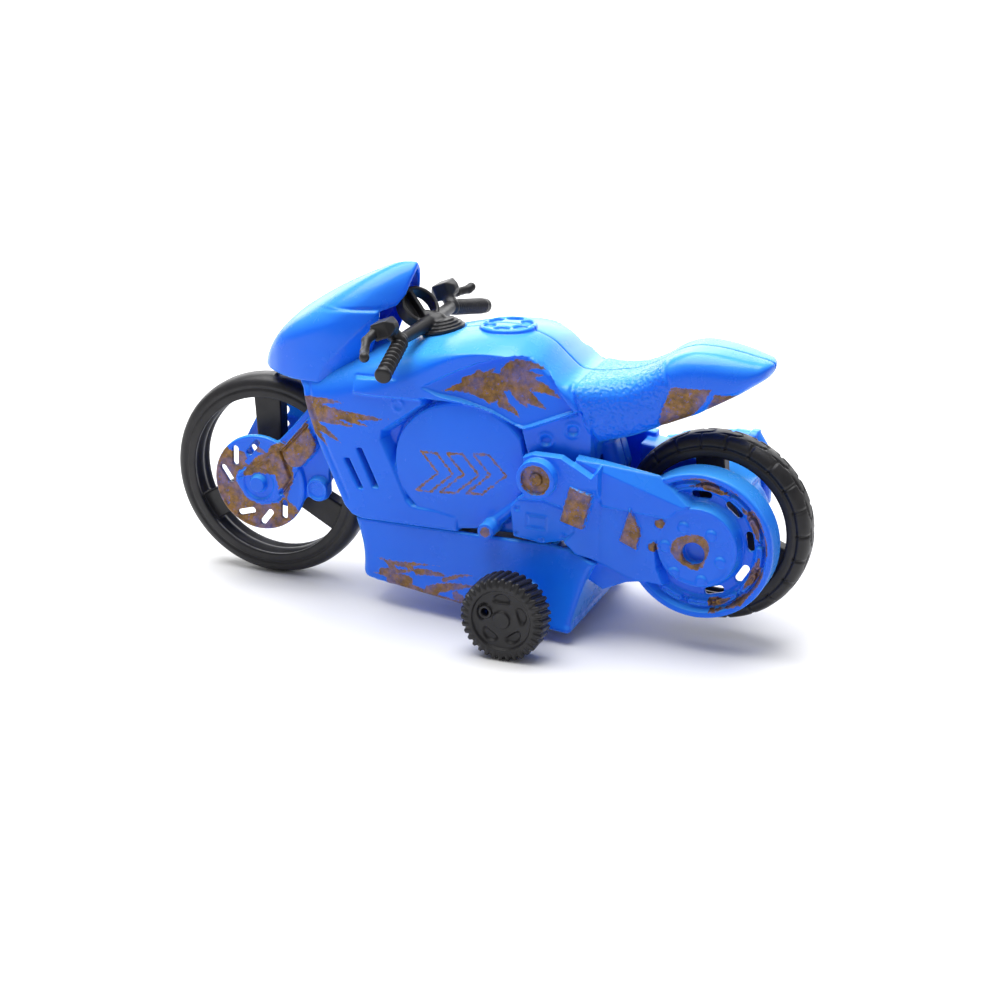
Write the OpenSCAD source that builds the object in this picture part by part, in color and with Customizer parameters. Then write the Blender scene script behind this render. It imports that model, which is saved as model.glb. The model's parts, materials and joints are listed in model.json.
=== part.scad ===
// Pull-back toy motorcycle: two moulded body halves, a motor cradle with two drive wheels, and free road wheels.
// +X points forward, +Y to the rider's left, +Z up. The origin is on the ground, under the middle of the toy.

/* [Road wheels] */
// Distance between the two road wheel axles
wheelbase = 87.6; // [86:0.2:89]
// Radius of the front wheel
front_r = 19.8; // [19:0.1:20.2]
// Radius of the rear wheel
rear_r = 17.6; // [16:0.1:17.8]
// Width of both road wheels
tyre_w = 6.5; // [5:0.5:7]
// Height of the rear axle, which leaves the rear wheel off the ground
rear_axle_z = 20.9; // [20.5:0.1:21.8]

/* [Drive wheels] */
// Radius of each drive wheel
drive_r = 7.8; // [7.6:0.1:8]
// Width of each drive wheel
drive_w = 5.6; // [4:0.2:6]
// Distance from the middle of the toy to the outer face of a drive wheel
track_y = 26.9; // [26:0.1:28]
// Number of tread blocks around a drive wheel
tread_blocks = 30; // [20:1:40]

/* [Body] */
// Wall of the moulded shells
wall = 1.3; // [1:0.1:1.5]
// Half width of the body at the tank and fairing
body_y = 13; // [12.6:0.1:13.4]
// Half width between the grip ends
grip_y = 25.2; // [24:0.2:26]
// Outer face of the chain case
case_y = 10.8; // [10.4:0.1:11]

/* [Motor] */
// Gear module
gear_m = 0.5; // [0.5:0.1:0.5]
// Teeth on each pinion
pinion_t = 10; // [10:1:10]
// Teeth on the large idler wheel
idler_t = 26; // [26:1:26]
// Teeth on the mainspring's gear
spring_t = 30; // [30:1:30]
// Radius of the steel axles
axle_r = 1; // [0.9:0.05:1.1]
// Turns of the mainspring
spring_turns = 6; // [4:1:7]

/* [Hidden] */
$fn = 48;

toy_blue = [0.12, 0.38, 0.90];
toy_black = [0.05, 0.05, 0.055];
steel = [0.70, 0.70, 0.72];
nylon = [0.92, 0.92, 0.88];

big = 200;
run_gap = 0.05;          // radial clearance of a running fit
front_axle_p = [42.7, front_r];
rear_axle_p = [front_axle_p[0] - wheelbase, rear_axle_z];
drive_axle_p = [-13.6, drive_r];

// Side view of a body half: fairing, tail, seat and tank.
body_side = [
    [32.5, 42.2], [31.6, 40.0], [30.4, 36.0], [28.3, 31.0], [25.6, 25.5], [22.8, 19.6], [19.6, 17.4],
    [-20, 17.4], [-26, 20], [-28, 30], [-26, 36.2], [-31, 37.7], [-36.3, 40.0], [-42.2, 42.7],
    [-49.2, 46.7], [-53.7, 49.6], [-55.3, 52.3], [-47.0, 53.4], [-42.0, 54.0], [-38.0, 52.9],
    [-34.0, 50.2], [-29.8, 48.8], [-20.0, 47.6], [-17.5, 49.2], [-14.7, 51.7], [-10.9, 53.5],
    [-4.2, 53.9], [0.6, 53.0], [8.0, 50.8], [20.0, 47.4]
];
// Half of the top view of a body half, from nose to tail.
body_top = [
    [33, body_y - 2.2], [20, body_y], [-2, body_y], [-14, body_y - 0.8], [-22, body_y - 2.8],
    [-27, body_y - 4.3], [-38, body_y - 5.1], [-47, body_y - 7.0], [-53, body_y - 10], [-55.6, 0.8]
];
// Half of a section across the body, which rounds off the tank and the seat.
body_section = [
    [body_y, 10], [body_y, 42], [body_y - 0.8, 48], [body_y - 3.4, 51.6], [body_y - 8, 54.2]
];
// Side view of the hollow inside a body half.
cavity_side = [
    [29.8, 41.3], [28.8, 37.0], [26.4, 31.6], [21.2, 20.6], [18.4, 19.6], [-18.6, 19.6], [-23.6, 21.4],
    [-25.4, 30], [-23.6, 38], [-30, 40], [-35.4, 42.1], [-41.4, 44.8], [-47.6, 48.4], [-48.6, 50.4],
    [-42.0, 51.6], [-38.9, 50.8], [-34.6, 48.0], [-29.9, 46.5], [-19.6, 45.3], [-16.2, 47.4],
    [-13.4, 49.8], [-10.2, 51.3], [-4.4, 51.6], [0.2, 50.7], [7.4, 48.5], [19.4, 45.1]
];
panel_depth = 1.1;       // how far the engine side lies below the fairing
knee_depth = 0.8;        // how far the knee recess lies below the tank
// Area behind the fairing where the engine and the frame show.
engine_bay = [
    [7.4, 41.4], [15.3, 35.2], [15.6, 33.5], [10.5, 22.1], [9.3, 21.1], [0.6, 20.0], [0.4, 16.0], [-32, 16],
    [-32, 30], [-24.8, 36.5], [-22.4, 42.0], [-12.0, 38.2], [-6.2, 40.8], [-0.7, 42.0]
];
knee_recess = [
    [6.2, 44.8], [-3.5, 50.1], [-9.9, 51.8], [-13.7, 51.8], [-16.4, 49.9], [-19.1, 45.5], [-21.0, 42.6],
    [-12.0, 39.0], [-6.2, 41.6], [-0.7, 42.8]
];
engine_p = [-0.5, 30];
engine_r = 11.5;
// The handlebar's round foot, which sits in a shallow seat on top of the tank.
foot_p = [7.5, 0, 51.2];
foot_r = 4.2;
// The beams of the swing arms start behind this x and lie between these y values.
arm_y = 12.4;
arm_beam_w = 2.6;
arm_start_x = -22;
// Screws that hold the two body halves, as [x, z].
body_screw_p = [[22, 40.5], [6, 43], [-17, 40.5], [-38, 47]];
screw_r = 0.9;           // thread
shank_r = 1.2;
head_r = 1.95;
head_h = 1.2;
screw_gap = 0.1;         // clearance of a screw in the piece that it passes through
body_head_y = 3;         // depth of the screw heads' seats from the seam

belly_front_x = 21;
belly_rear_x = -22.5;
belly_top_z = 17.2;
belly_top_y = 12.2;
belly_front_y = 9.4;
belly_rear_y = 16.6;
belly_wall = 1;
belly_slope = 0.065;     // the belly floor drops towards the rear
function belly_floor(x) = 4.9 + (x - 20.5) * belly_slope;
// Screws that hold the belly pan on each side, as [x, y].
belly_screw_p = [[15.6, 8.2], [-19.6, 9.8]];
belly_seat_h = 1.5;      // height of the belly screw heads' seats above the belly floor

// ---------- motor layout ----------
case_half_w = 6.8;
case_wall = 0.8;
idler_shaft_r = 0.6;
arbor_r = 1.5;
arbor_p = [3.0, 14.5];
idler_centre_d = gear_m * (pinion_t + idler_t) / 2;
spring_centre_d = gear_m * (pinion_t + spring_t) / 2;
train_v = arbor_p - drive_axle_p;
train_d = norm(train_v);
idler_along = (idler_centre_d^2 - spring_centre_d^2 + train_d^2) / (2 * train_d);
idler_across = sqrt(idler_centre_d^2 - idler_along^2);
idler_p = drive_axle_p + train_v / train_d * idler_along + [-train_v[1], train_v[0]] / train_d * idler_across;
drive_layer = [0.6, 3.0];      // y range of the pinion and the large idler wheel
spring_layer = [3.3, 5.5];     // y range of the small idler wheel and the spring gear
drum_layer = [-5.4, 0.2];      // y range of the mainspring
motor_side = [[-18.3, 3.6], [12.4, 5.6], [12.4, 23.9], [-14.5, 23.9], [-18.3, 13]];

// ---------- helpers ----------
// Raises a side view drawn in X and Z into a solid between two y values.
module slab(y0, y1) {
    translate([0, y1, 0]) rotate([90, 0, 0]) linear_extrude(y1 - y0) children();
}
// A cylinder between two points.
module strut(a, b, r) {
    v = b - a;
    translate(a) rotate([0, acos(v[2] / norm(v)), atan2(v[1], v[0])]) cylinder(r = r, h = norm(v));
}
// A cylinder along Y at p = [x, z].
module rod(p, r, y0, y1) {
    translate([p[0], y1, p[1]]) rotate([90, 0, 0]) cylinder(r = r, h = y1 - y0);
}
// Draws its children on the left side and mirrored on the right.
module mirrored() {
    children();
    mirror([0, 1, 0]) children();
}
// Moves each edge of a polygon inwards by d. Sign is 1 for an anticlockwise polygon.
function inset(p, d, sign = 1) = [
    for (i = [0:len(p) - 1])
        let (
            a = p[(i + len(p) - 1) % len(p)], b = p[i], c = p[(i + 1) % len(p)],
            u = (b - a) / norm(b - a), v = (c - b) / norm(c - b),
            nu = [-u[1], u[0]] * sign, nv = [-v[1], v[0]] * sign,
            bis = nu + nv
        )
        b + bis * (d / max(0.3, (1 + nu * nv)))
];
// Angle of the line from a to b.
function bearing(a, b) = atan2(b[1] - a[1], b[0] - a[0]);

// One flank point of an involute at roll angle t, in degrees.
function involute(rb, t) = [rb * (cos(t) + t * PI / 180 * sin(t)), rb * (sin(t) - t * PI / 180 * cos(t))];
function turned(p, a) = [p[0] * cos(a) - p[1] * sin(a), p[0] * sin(a) + p[1] * cos(a)];
// Outline of a gear with a tooth centred on angle 0. Short teeth and some backlash keep it free running.
function gear_outline(teeth, m, pressure = 25, backlash = 0.07) =
    let (
        rp = m * teeth / 2, rb = rp * cos(pressure), ra = rp + 0.8 * m, rr = rp - 1.05 * m,
        roll_p = sqrt((rp / rb)^2 - 1) * 180 / PI,
        roll_a = sqrt((ra / rb)^2 - 1) * 180 / PI,
        at_p = involute(rb, roll_p),
        half = 90 / teeth + atan2(at_p[1], at_p[0]) - backlash / 2 / rp * 180 / PI,
        steps = 4,
        flank = concat(
            rr < rb ? [turned([rr, 0], -half)] : [],
            [for (k = [0:steps]) turned(involute(rb, roll_a * k / steps), -half)]
        )
    )
    [
        for (i = [0:teeth - 1])
            let (turn = i * 360 / teeth)
            each concat(
                [for (q = flank) turned(q, turn)],
                [for (k = [len(flank) - 1:-1:0]) turned([flank[k][0], -flank[k][1]], turn)]
            )
    ];
module gear(p, teeth, layer, phase) {
    translate([p[0], 0, p[1]])
        slab(layer[0], layer[1]) rotate(phase) polygon(gear_outline(teeth, gear_m));
}

// ---------- body ----------
// A solid with the given side view, rounded like the body and narrower than it by d.
module body_solid(side_view, d) {
    intersection() {
        slab(0, big) polygon(side_view);
        translate([0, 0, -big / 2]) linear_extrude(big)
            polygon(concat([for (q = body_top) if (q[1] > d) [q[0], q[1] - d]], [[-55.6 + d, 0], [33, 0]]));
        translate([-big / 2, 0, 0]) rotate([90, 0, 90]) linear_extrude(big)
            polygon(concat([[0, 10]], [for (q = body_section) if (q[0] > d) [q[0] - d, q[1]]], [[0, 55]]));
    }
}
// Room for the road wheels and the fork between the two sides.
module wheel_wells() {
    rod(front_axle_p, front_r + 1.4, -1, 4.4);
    slab(-1, 9.2) polygon([[40, 10], [40, 37.5], [27.5, 40.5], [24, 34], [19.5, 24], [17.5, 10]]);
    rod(rear_axle_p, rear_r + 1.2, -1, 5.2);
}
module motor_opening() {
    translate([-19, -1, 10]) cube([32, 1 + case_half_w + 0.4, 14.3]);
}
module fairing_slots() {
    slab(5, big) polygon([[22.8, 28.8], [21.7, 28.9], [18.9, 23.4], [19.9, 23.3]]);
    slab(5, big) polygon([[20.2, 31.1], [19.1, 31.2], [15.8, 24.0], [17.0, 23.9]]);
}
// One half with its panels, screw bosses of radius boss_r and foot peg, drawn as the left half.
module body_half(boss_r) {
    difference() {
        body_solid(body_side, 0);
        body_solid(cavity_side, wall + panel_depth);
        motor_opening();
        wheel_wells();
        fairing_slots();
        slab(body_y - panel_depth, big) polygon(engine_bay);
        slab(body_y - 0.4 - knee_depth, big) polygon(knee_recess);
        slab(arm_y - arm_beam_w - 0.1, big)
            polygon([[arm_start_x + 0.1, 16], [arm_start_x + 0.1, 34.5], [-32, 34.5], [-32, 16]]);
        translate(foot_p) cylinder(r = foot_r + 0.1, h = 5);
    }
    rod(engine_p, engine_r, body_y - panel_depth - 0.5, body_y - 0.5);
    intersection() {
        body_solid(body_side, 0);
        for (p = body_screw_p) rod(p, boss_r, 0, big);
    }
    rod([-6.2, 19.4], 1.7, body_y - 2, body_y + 2.4);
}
module left_body_shell() {
    color(toy_blue) difference() {
        body_half(2.3);
        for (p = body_screw_p) rod(p, screw_r, -1, 4.6);
        for (p = belly_screw_p) translate([p[0], p[1], 0]) cylinder(r = screw_r, h = belly_top_z + 2);
    }
}
module right_body_shell() {
    color(toy_blue) difference() {
        mirror([0, 1, 0]) body_half(3);
        for (p = body_screw_p) {
            rod(p, shank_r + screw_gap, -big, 1);
            rod(p, head_r + screw_gap, -big, -body_head_y);
        }
        for (p = belly_screw_p) translate([p[0], -p[1], 0]) cylinder(r = screw_r, h = belly_top_z + 2);
    }
}

// A cross-head screw standing on its head at the origin, with a shank and a thread above it.
module screw(shank, thread) {
    difference() {
        union() {
            cylinder(r = head_r, h = head_h);
            cylinder(r = shank_r, h = head_h + shank);
            cylinder(r = screw_r, h = head_h + shank + thread);
        }
        for (turn = [0, 90]) rotate(turn) cube([2.4, 0.5, 1], center = true);
    }
}
// The heads sit in the right half and the threads in the left one.
module body_screws() {
    color(steel) for (p = body_screw_p)
        translate([p[0], -body_head_y - head_h, p[1]]) rotate([-90, 0, 0]) screw(body_head_y, 4.4);
}

// Outer shape of the belly, made smaller all round by d: a narrow front, a wide rear and a sloping floor.
module belly_solid(d) {
    hull() {
        translate([belly_rear_x - 3.5 + d, -belly_top_y + d, belly_top_z - 1])
            cube([belly_front_x - belly_rear_x + 3 - 2 * d, 2 * (belly_top_y - d), 1]);
        for (corner = [[belly_front_x - 0.5 - d, belly_front_y - d], [belly_rear_x + d, belly_rear_y - d]])
            for (side = [-1, 1])
                translate([corner[0], side * corner[1] - 0.05, belly_floor(corner[0]) + d]) cube([0.1, 0.1, 0.1]);
    }
}
module belly_pan() {
    guide_y = [11.5, 17.5];
    color(toy_blue) difference() {
        union() {
            difference() {
                belly_solid(0);
                belly_solid(belly_wall);
                translate([belly_rear_x - 1.8, -belly_top_y + 1.4, belly_top_z - 2])
                    cube([belly_front_x - belly_rear_x, 2 * (belly_top_y - 1.4), 3]);
            }
            // guides that carry the axle
            rod(drive_axle_p, 2.6, guide_y[0], guide_y[1]);
            rod(drive_axle_p, 2.6, -guide_y[1], -guide_y[0]);
            intersection() {
                for (p = belly_screw_p) mirrored()
                    translate([p[0], p[1], 0]) cylinder(r = 2.5, h = belly_top_z - 0.1);
                belly_solid(0);
            }
        }
        rod(drive_axle_p, axle_r + run_gap, -big, big);
        // room for the swing arms, which pass over the rear corners
        mirrored() slab(belly_front_y, big)
            polygon([[-18.6, 17.25], [-22.6, 16.4], [-27, 14.4], [-27, 20], [-18.6, 20]]);
        for (p = belly_screw_p) mirrored() translate([p[0], p[1], 0]) {
            cylinder(r = shank_r + screw_gap, h = 30);
            cylinder(r = head_r + screw_gap, h = belly_floor(p[0]) + belly_seat_h);
        }
    }
}
module belly_screws() {
    color(steel) for (p = belly_screw_p) mirrored() let (seat_z = belly_floor(p[0]) + belly_seat_h)
        translate([p[0], p[1], seat_z - head_h]) screw(belly_top_z - seat_z, 1.8);
}

// Headlight cowl and screen, one thin moulding over the front of both halves.
cowl_side = [
    [43.2, 42.3], [42.6, 44.3], [41.2, 46.6], [38.9, 49.8], [35.8, 52.9], [32.2, 55.4], [26.9, 58.7], [21.1, 61.6],
    [15.4, 63.9], [12.4, 64.5], [12.8, 61.8], [13.9, 58.2], [15.4, 56.4], [18.0, 54.0], [19.5, 49.0], [20.2, 48.0],
    [21.0, 42.4], [40.6, 41.9]
];
// The hollow inside it, open behind and underneath.
cowl_hollow = [
    [42.0, 38], [41.9, 42.6], [41.3, 43.8], [40.1, 45.8], [38.0, 48.9], [35.1, 51.9], [31.6, 54.3], [26.4, 57.5],
    [20.7, 60.3], [15.1, 62.5], [5, 64.6], [5, 38]
];
// Half of the top view, from the nose to the trailing edge of the screen.
cowl_top = [
    [43.4, 0], [43.2, 1.6], [41.4, 4.4], [37.5, 7.2], [31, 9.6], [24, 10.8], [18, 10], [13.5, 6.4], [12.2, 3.6], [12.2, 0]
];
cowl_wall = 1.1;
// Half widths across the height, narrow at the top of the screen.
cowl_section = [[14, 30], [14, 44], [11, 52], [8, 58], [4.2, 62.6], [0.01, 64.6]];
cowl_trail_x = 14;        // points of the top view behind this are on the trailing edge
cowl_open = 8;            // how far the hollow runs out past that edge
// A half outline closed by its mirror image. Number 0 or 1 of each point is the half width.
function whole(half, at) = concat(half, [
    for (i = [len(half) - 1:-1:0]) if (half[i][at] > 0)
        at == 0 ? [-half[i][0], half[i][1]] : [half[i][0], -half[i][1]]
]);
module cowl_solid(side_view, d) {
    intersection() {
        slab(-big / 2, big / 2) polygon(side_view);
        translate([0, 0, -big / 2]) linear_extrude(big) polygon(whole([
            for (q = cowl_top)
                [d > 0 && q[0] < cowl_trail_x ? q[0] - cowl_open : q[0], max(0, q[1] - d)]
        ], 1));
        translate([-big / 2, 0, 0]) rotate([90, 0, 90]) linear_extrude(big)
            polygon(whole([for (q = cowl_section) [max(0, q[0] - d), q[1]]], 0));
    }
}
module nose_cowl() {
    color(toy_blue) difference() {
        cowl_solid(cowl_side, 0);
        cowl_solid(cowl_hollow, cowl_wall);
        // the body reaches into the cowl below this line
        slab(-big / 2, big / 2) polygon([[14.9, 57.6], [20.6, 52.0], [32.6, 43.4], [33, 38], [5, 36], [5, 57.6]]);
    }
}

// ---------- handlebar ----------
bar_p = [11, 0, 53.6];   // where both bars meet, under the gauge
bar_r = 1.6;
grip_in = [11.0, 11.5, 52.4];
grip_out = [9.1, grip_y - 0.4, 49.5];
gauge_p = [12.8, 0, 55.2];
gauge_r = 3.9;
gauge_wall = 0.8;
gauge_h = 2.6;
gauge_tilt = 45;
gauge_turn = -30;        // the ring looks back and a little to the left
lever_r = 0.7;
module gauge_ring() {
    translate(gauge_p) rotate([0, 0, gauge_turn]) rotate([0, -gauge_tilt, 0]) difference() {
        translate([0, 0, -gauge_h / 2]) cylinder(r = gauge_r, h = gauge_h);
        // two openings with an upright bar between them
        for (turn = [0, 180]) rotate(turn) intersection() {
            cylinder(r = gauge_r - gauge_wall, h = 2 * gauge_h, center = true);
            translate([-gauge_r, 0.4, -gauge_h]) cube([2 * gauge_r, gauge_r, 2 * gauge_h]);
        }
    }
}
module lever() {
    block = [13.2, 14.2, 54.9];
    bend = [14.4, 19, 53.6];
    tip = [12.3, grip_y, 52.8];
    strut(block, bend, lever_r);
    strut(bend, tip, lever_r);
    translate(bend) sphere(r = lever_r + 0.1);
    translate(tip) sphere(r = lever_r + 0.15);
    translate(block) cube([4.6, 4, 3.4], center = true);
}
module handlebar() {
    foot_step = 0.8;
    color(toy_black) {
        // stepped foot on the tank
        translate(foot_p) cylinder(r = foot_r, h = foot_step + 0.1);
        translate(foot_p + [0, 0, foot_step]) cylinder(r = foot_r - 0.8, h = foot_step + 0.1);
        translate(foot_p + [-0.5, -2.2, foot_step]) cube([5.2, 4.4, 2.6]);
        gauge_ring();
        mirrored() {
            strut(bar_p, grip_in, bar_r + 0.1);
            strut(grip_in, grip_out, bar_r);
            lever();
        }
    }
}

// ---------- fork ----------
fork_in_y = 4.6;
fork_out_y = 6.9;
disc_r = 9.4;
disc_w = 0.9;
fork_side = [
    [41.4, 23.6], [42.6, 17.0], [36.2, 17.4], [33.5, 20.8], [29.6, 17.6], [27.4, 20.5],
    [26.5, 36.6], [29.2, 39.2], [33.4, 38.2], [38.4, 29.6]
];
// Slots in the brake disc, by their places round the wheel. Each one is slanted to the rim.
disc_slots = [8, 44, 80, -64, -100, -136];
slot_ring_r = 6.9;
slot_slant = 48;
slot_size = [3.8, 1.2];
// A lobe on the right leg that reaches forwards, with a slot of its own.
fork_lobe = [[34.6, 32.6], [37.6, 33.4], [44.6, 31.8], [49.6, 28.4], [52.2, 23.6], [47, 17.5], [38, 20]];
lobe_slot_p = [44.4, 28.6];
// A fork leg with its brake disc, drawn as the left one.
module fork_leg(lobe) {
    color(toy_blue) difference() {
        union() {
            slab(fork_in_y, fork_out_y) polygon(fork_side);
            rod(front_axle_p, disc_r, fork_out_y - disc_w, fork_out_y);
            if (lobe) slab(fork_out_y - disc_w, fork_out_y) polygon(fork_lobe);
            rod(front_axle_p, 3, fork_in_y - 0.6, fork_out_y);
            rod(front_axle_p, 2.4, fork_in_y - 0.6, fork_out_y + 2);
            rod([30.4, 20.3], 2.2, fork_out_y - 0.5, fork_out_y + 0.8);
            rod([28.6, 36.0], 2.4, fork_out_y - 0.5, 9.2);
        }
        rod(front_axle_p, axle_r, -1, fork_out_y + 1.2);
        for (a = disc_slots) slot_at(front_axle_p + slot_ring_r * [cos(a), sin(a)], a + slot_slant, slot_size);
        if (lobe) slot_at(lobe_slot_p, 120, [4.6, 1.4]);
    }
}
// An opening through Y at p = [x, z] that runs in the given direction.
module slot_at(p, direction, size) {
    translate([p[0], 0, p[1]]) rotate([0, -direction, 0]) translate([-size[0] / 2, 0, -size[1] / 2])
        cube([size[0], 20, size[1]]);
}
module left_fork_leg() { fork_leg(false); }
module right_fork_leg() { mirror([0, 1, 0]) fork_leg(true); }

// ---------- swing arms ----------
plate_in_y = body_y - panel_depth + 0.05;
plate_y = 13.9;          // outer face of the plate round the pivot
pivot_p = [-15.9, 30.6];
pivot_r = 3.6;
pivot_y = body_y + 3.2;
pivot_plate = [
    [-12.6, 34.2], [-20.0, 35.0], [-26.0, 33.4], [-26.0, 15.8], [-22.5, 16.8], [-12.4, 18.2], [-10.6, 24.5], [-13.4, 27.6]
];
arm_beam = [[arm_start_x, 34.2], [-37.0, 32.8], [-43.0, 28.5], [-43.5, 13.5], [-38.0, 10.5], [-32.0, 12.4], [arm_start_x, 16.8]];
hub_boss_r = 2.4;
axle_boss_y = 4;
// The chain case is an open dish a little below the axle, with a hub plate and a hole that is only for show.
case_p = rear_axle_p + [0.4, -0.6];
case_r = 13.5;
case_rim_w = 1.4;
case_in_y = 5.2;
case_floor_y = 9.2;      // outer face of the dish's floor
case_floor_w = 1;
hub_plate_r = 7.4;
hub_plate_y = 12;
hub_hole_p = rear_axle_p + [1.1, -1.9];
hub_hole_r = 2.1;
// Windows between the chain and the hub.
case_windows = [89:41:253];
window_ring_r = 9.1;
window_size = [3.6, 1.4];
module left_swing_arm() {
    color(toy_blue) difference() {
        union() {
            slab(plate_in_y, plate_y) polygon(pivot_plate);
            slab(arm_y - arm_beam_w, arm_y) polygon(arm_beam);
            rod(pivot_p, pivot_r, plate_in_y, pivot_y);
            difference() {
                rod(case_p, case_r, case_in_y, case_y);
                rod(case_p, case_r - case_rim_w, case_floor_y, case_y + 1);
                rod(case_p, case_r - case_rim_w, case_in_y - 1, case_floor_y - case_floor_w);
            }
            rod(case_p, hub_plate_r, case_floor_y - case_floor_w, hub_plate_y);
            rod(rear_axle_p, hub_boss_r + 0.6, axle_boss_y, case_floor_y);
        }
        rod(hub_hole_p, hub_hole_r, hub_plate_y - 2.6, big);
        rod(rear_axle_p, axle_r, 0, rear_axle_y);
        for (a = case_windows) slot_at(case_p + window_ring_r * [cos(a), sin(a)], a + 90, window_size);
    }
}
module right_swing_arm() {
    side_arm = [[-28.3, 32.4], [-28.3, 16.2], [-33, 15.5], [-45, 14.2], [-49.5, 17], [-49.5, 27], [-45, 29.6], [-36, 31.5]];
    color(toy_blue) mirror([0, 1, 0]) difference() {
        union() {
            slab(plate_in_y, plate_y) polygon(pivot_plate);
            slab(case_in_y, arm_y - 0.4) polygon(side_arm);
            slab(arm_y - arm_beam_w, arm_y)
                polygon([[arm_start_x, 34.2], [-28.5, 33.2], [-28.5, 16], [arm_start_x, 16.8]]);
            rod(pivot_p, pivot_r, plate_in_y, pivot_y);
            rod(rear_axle_p, hub_boss_r, axle_boss_y, case_y);
        }
        rod(rear_axle_p, axle_r, 0, rear_axle_y);
    }
}
// Exhaust silencer, plugged onto the outside of the right swing arm.
silencer_w = 4;
silencer_side = [
    [-48.4, 34.2], [-50.4, 31.0], [-51.2, 26.0], [-51.0, 20.4], [-49, 18.8], [-31, 20.8], [-27.8, 25.5], [-30.5, 31.6],
    [-44, 34.4]
];
module silencer() {
    inner_y = arm_y;
    pipe_r = 1.5;
    color(toy_blue) difference() {
        union() {
            slab(-inner_y - silencer_w, -inner_y) polygon(silencer_side);
            slab(-inner_y - silencer_w - 1, -inner_y) polygon(inset(silencer_side, 1.4, 1));
        }
        // open end
        translate([-53, -inner_y - silencer_w / 2, 28]) rotate([0, 90, 0]) cylinder(r = pipe_r, h = 5);
    }
}

// ---------- axles ----------
rear_axle_y = 8.8;       // half length of the rear axle
module front_axle() { color(steel) rod(front_axle_p, axle_r, -(fork_out_y + 1), fork_out_y + 1); }
module rear_axle() { color(steel) rod(rear_axle_p, axle_r, -rear_axle_y, rear_axle_y); }
module drive_axle() { color(steel) rod(drive_axle_p, axle_r, -(track_y - 1.2), track_y - 1.2); }

// ---------- road wheels ----------
rim_h = 4.2;             // from the tread to the inside of the rim
spoke_w = 5;
spoke_half_y = 1.6;
hub_r = 3.4;
hub_half_y = 3.2;
// A wheel with three spokes, the first one at the given angle.
module road_wheel(p, r, first_spoke) {
    half = tyre_w / 2;
    translate([p[0], 0, p[1]]) difference() {
        union() {
            rotate([90, 0, 0]) rotate_extrude($fn = 96) polygon([
                [r - rim_h, -half + 0.4], [r - 2.6, -half], [r - 0.8, -half + 0.3], [r, -half + 1.4],
                [r, half - 1.4], [r - 0.8, half - 0.3], [r - 2.6, half], [r - rim_h, half - 0.4], [r - rim_h + 0.6, 0]
            ]);
            for (k = [0:2]) rotate([0, -(first_spoke + 120 * k), 0])
                translate([1.5, -spoke_half_y, -spoke_w / 2]) cube([r - rim_h - 0.4, 2 * spoke_half_y, spoke_w]);
            rotate([90, 0, 0]) cylinder(r = hub_r, h = 2 * hub_half_y, center = true);
        }
        rod([0, 0], axle_r + run_gap, -10, 10);
    }
}
module front_wheel() { color(toy_black) road_wheel(front_axle_p, front_r, 88); }
module rear_wheel() { color(toy_black) road_wheel(rear_axle_p, rear_r, 84); }

// ---------- drive wheels ----------
function tread_outline(n, r, depth) = [
    for (i = [0:n - 1], k = [0:3])
        let (a = (i + [0, 0.12, 0.55, 0.67][k]) * 360 / n, q = (k == 1 || k == 2) ? r : r - depth)
        [q * cos(a), q * sin(a)]
];
// Outer face at y = track_y; drawn for the left side.
tread_depth = 0.6;
dish_r = 5.6;
dish_depth = 0.5;
key_hole_p = drive_axle_p + [3.0, 1.2];
key_hole_r = 0.75;
module drive_wheel() {
    inner = track_y - drive_w;
    difference() {
        union() {
            translate([drive_axle_p[0], 0, drive_axle_p[1]]) {
                slab(inner, track_y - 0.7) polygon(tread_outline(tread_blocks, drive_r, tread_depth));
            }
            rod(drive_axle_p, drive_r - 1.3, inner, track_y);
            rod(drive_axle_p, 2.4, inner - 1.4, track_y);
        }
        // shallow dish in the outer face round the hub disc
        difference() {
            rod(drive_axle_p, dish_r, track_y - dish_depth, track_y + 1);
            rod(drive_axle_p, 1.6, track_y - 1, track_y + 2);
        }
        rod(key_hole_p, key_hole_r, 0, big);
        rod(drive_axle_p, axle_r, 0, track_y - 1.2);
    }
}
module left_drive_wheel() { color(toy_black) drive_wheel(); }
module right_drive_wheel() { color(toy_black) mirror([0, 1, 0]) drive_wheel(); }

// ---------- motor ----------
module motor_case(left) {
    y0 = left ? 0 : -case_half_w;
    y1 = left ? case_half_w : 0;
    difference() {
        slab(y0, y1) polygon(motor_side);
        slab(left ? -1 : -case_half_w + case_wall, left ? case_half_w - case_wall : 1)
            polygon(inset(motor_side, case_wall, 1));
        rod(drive_axle_p, axle_r + run_gap, -big, big);
        rod(arbor_p, axle_r + run_gap, -big, big);
        rod(idler_p, idler_shaft_r, -big, big);
    }
}
module motor_case_left() { color(nylon) motor_case(true); }
module motor_case_right() { color(nylon) motor_case(false); }
module idler_shaft() { color(steel) rod(idler_p, idler_shaft_r, -case_half_w, case_half_w); }

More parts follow.
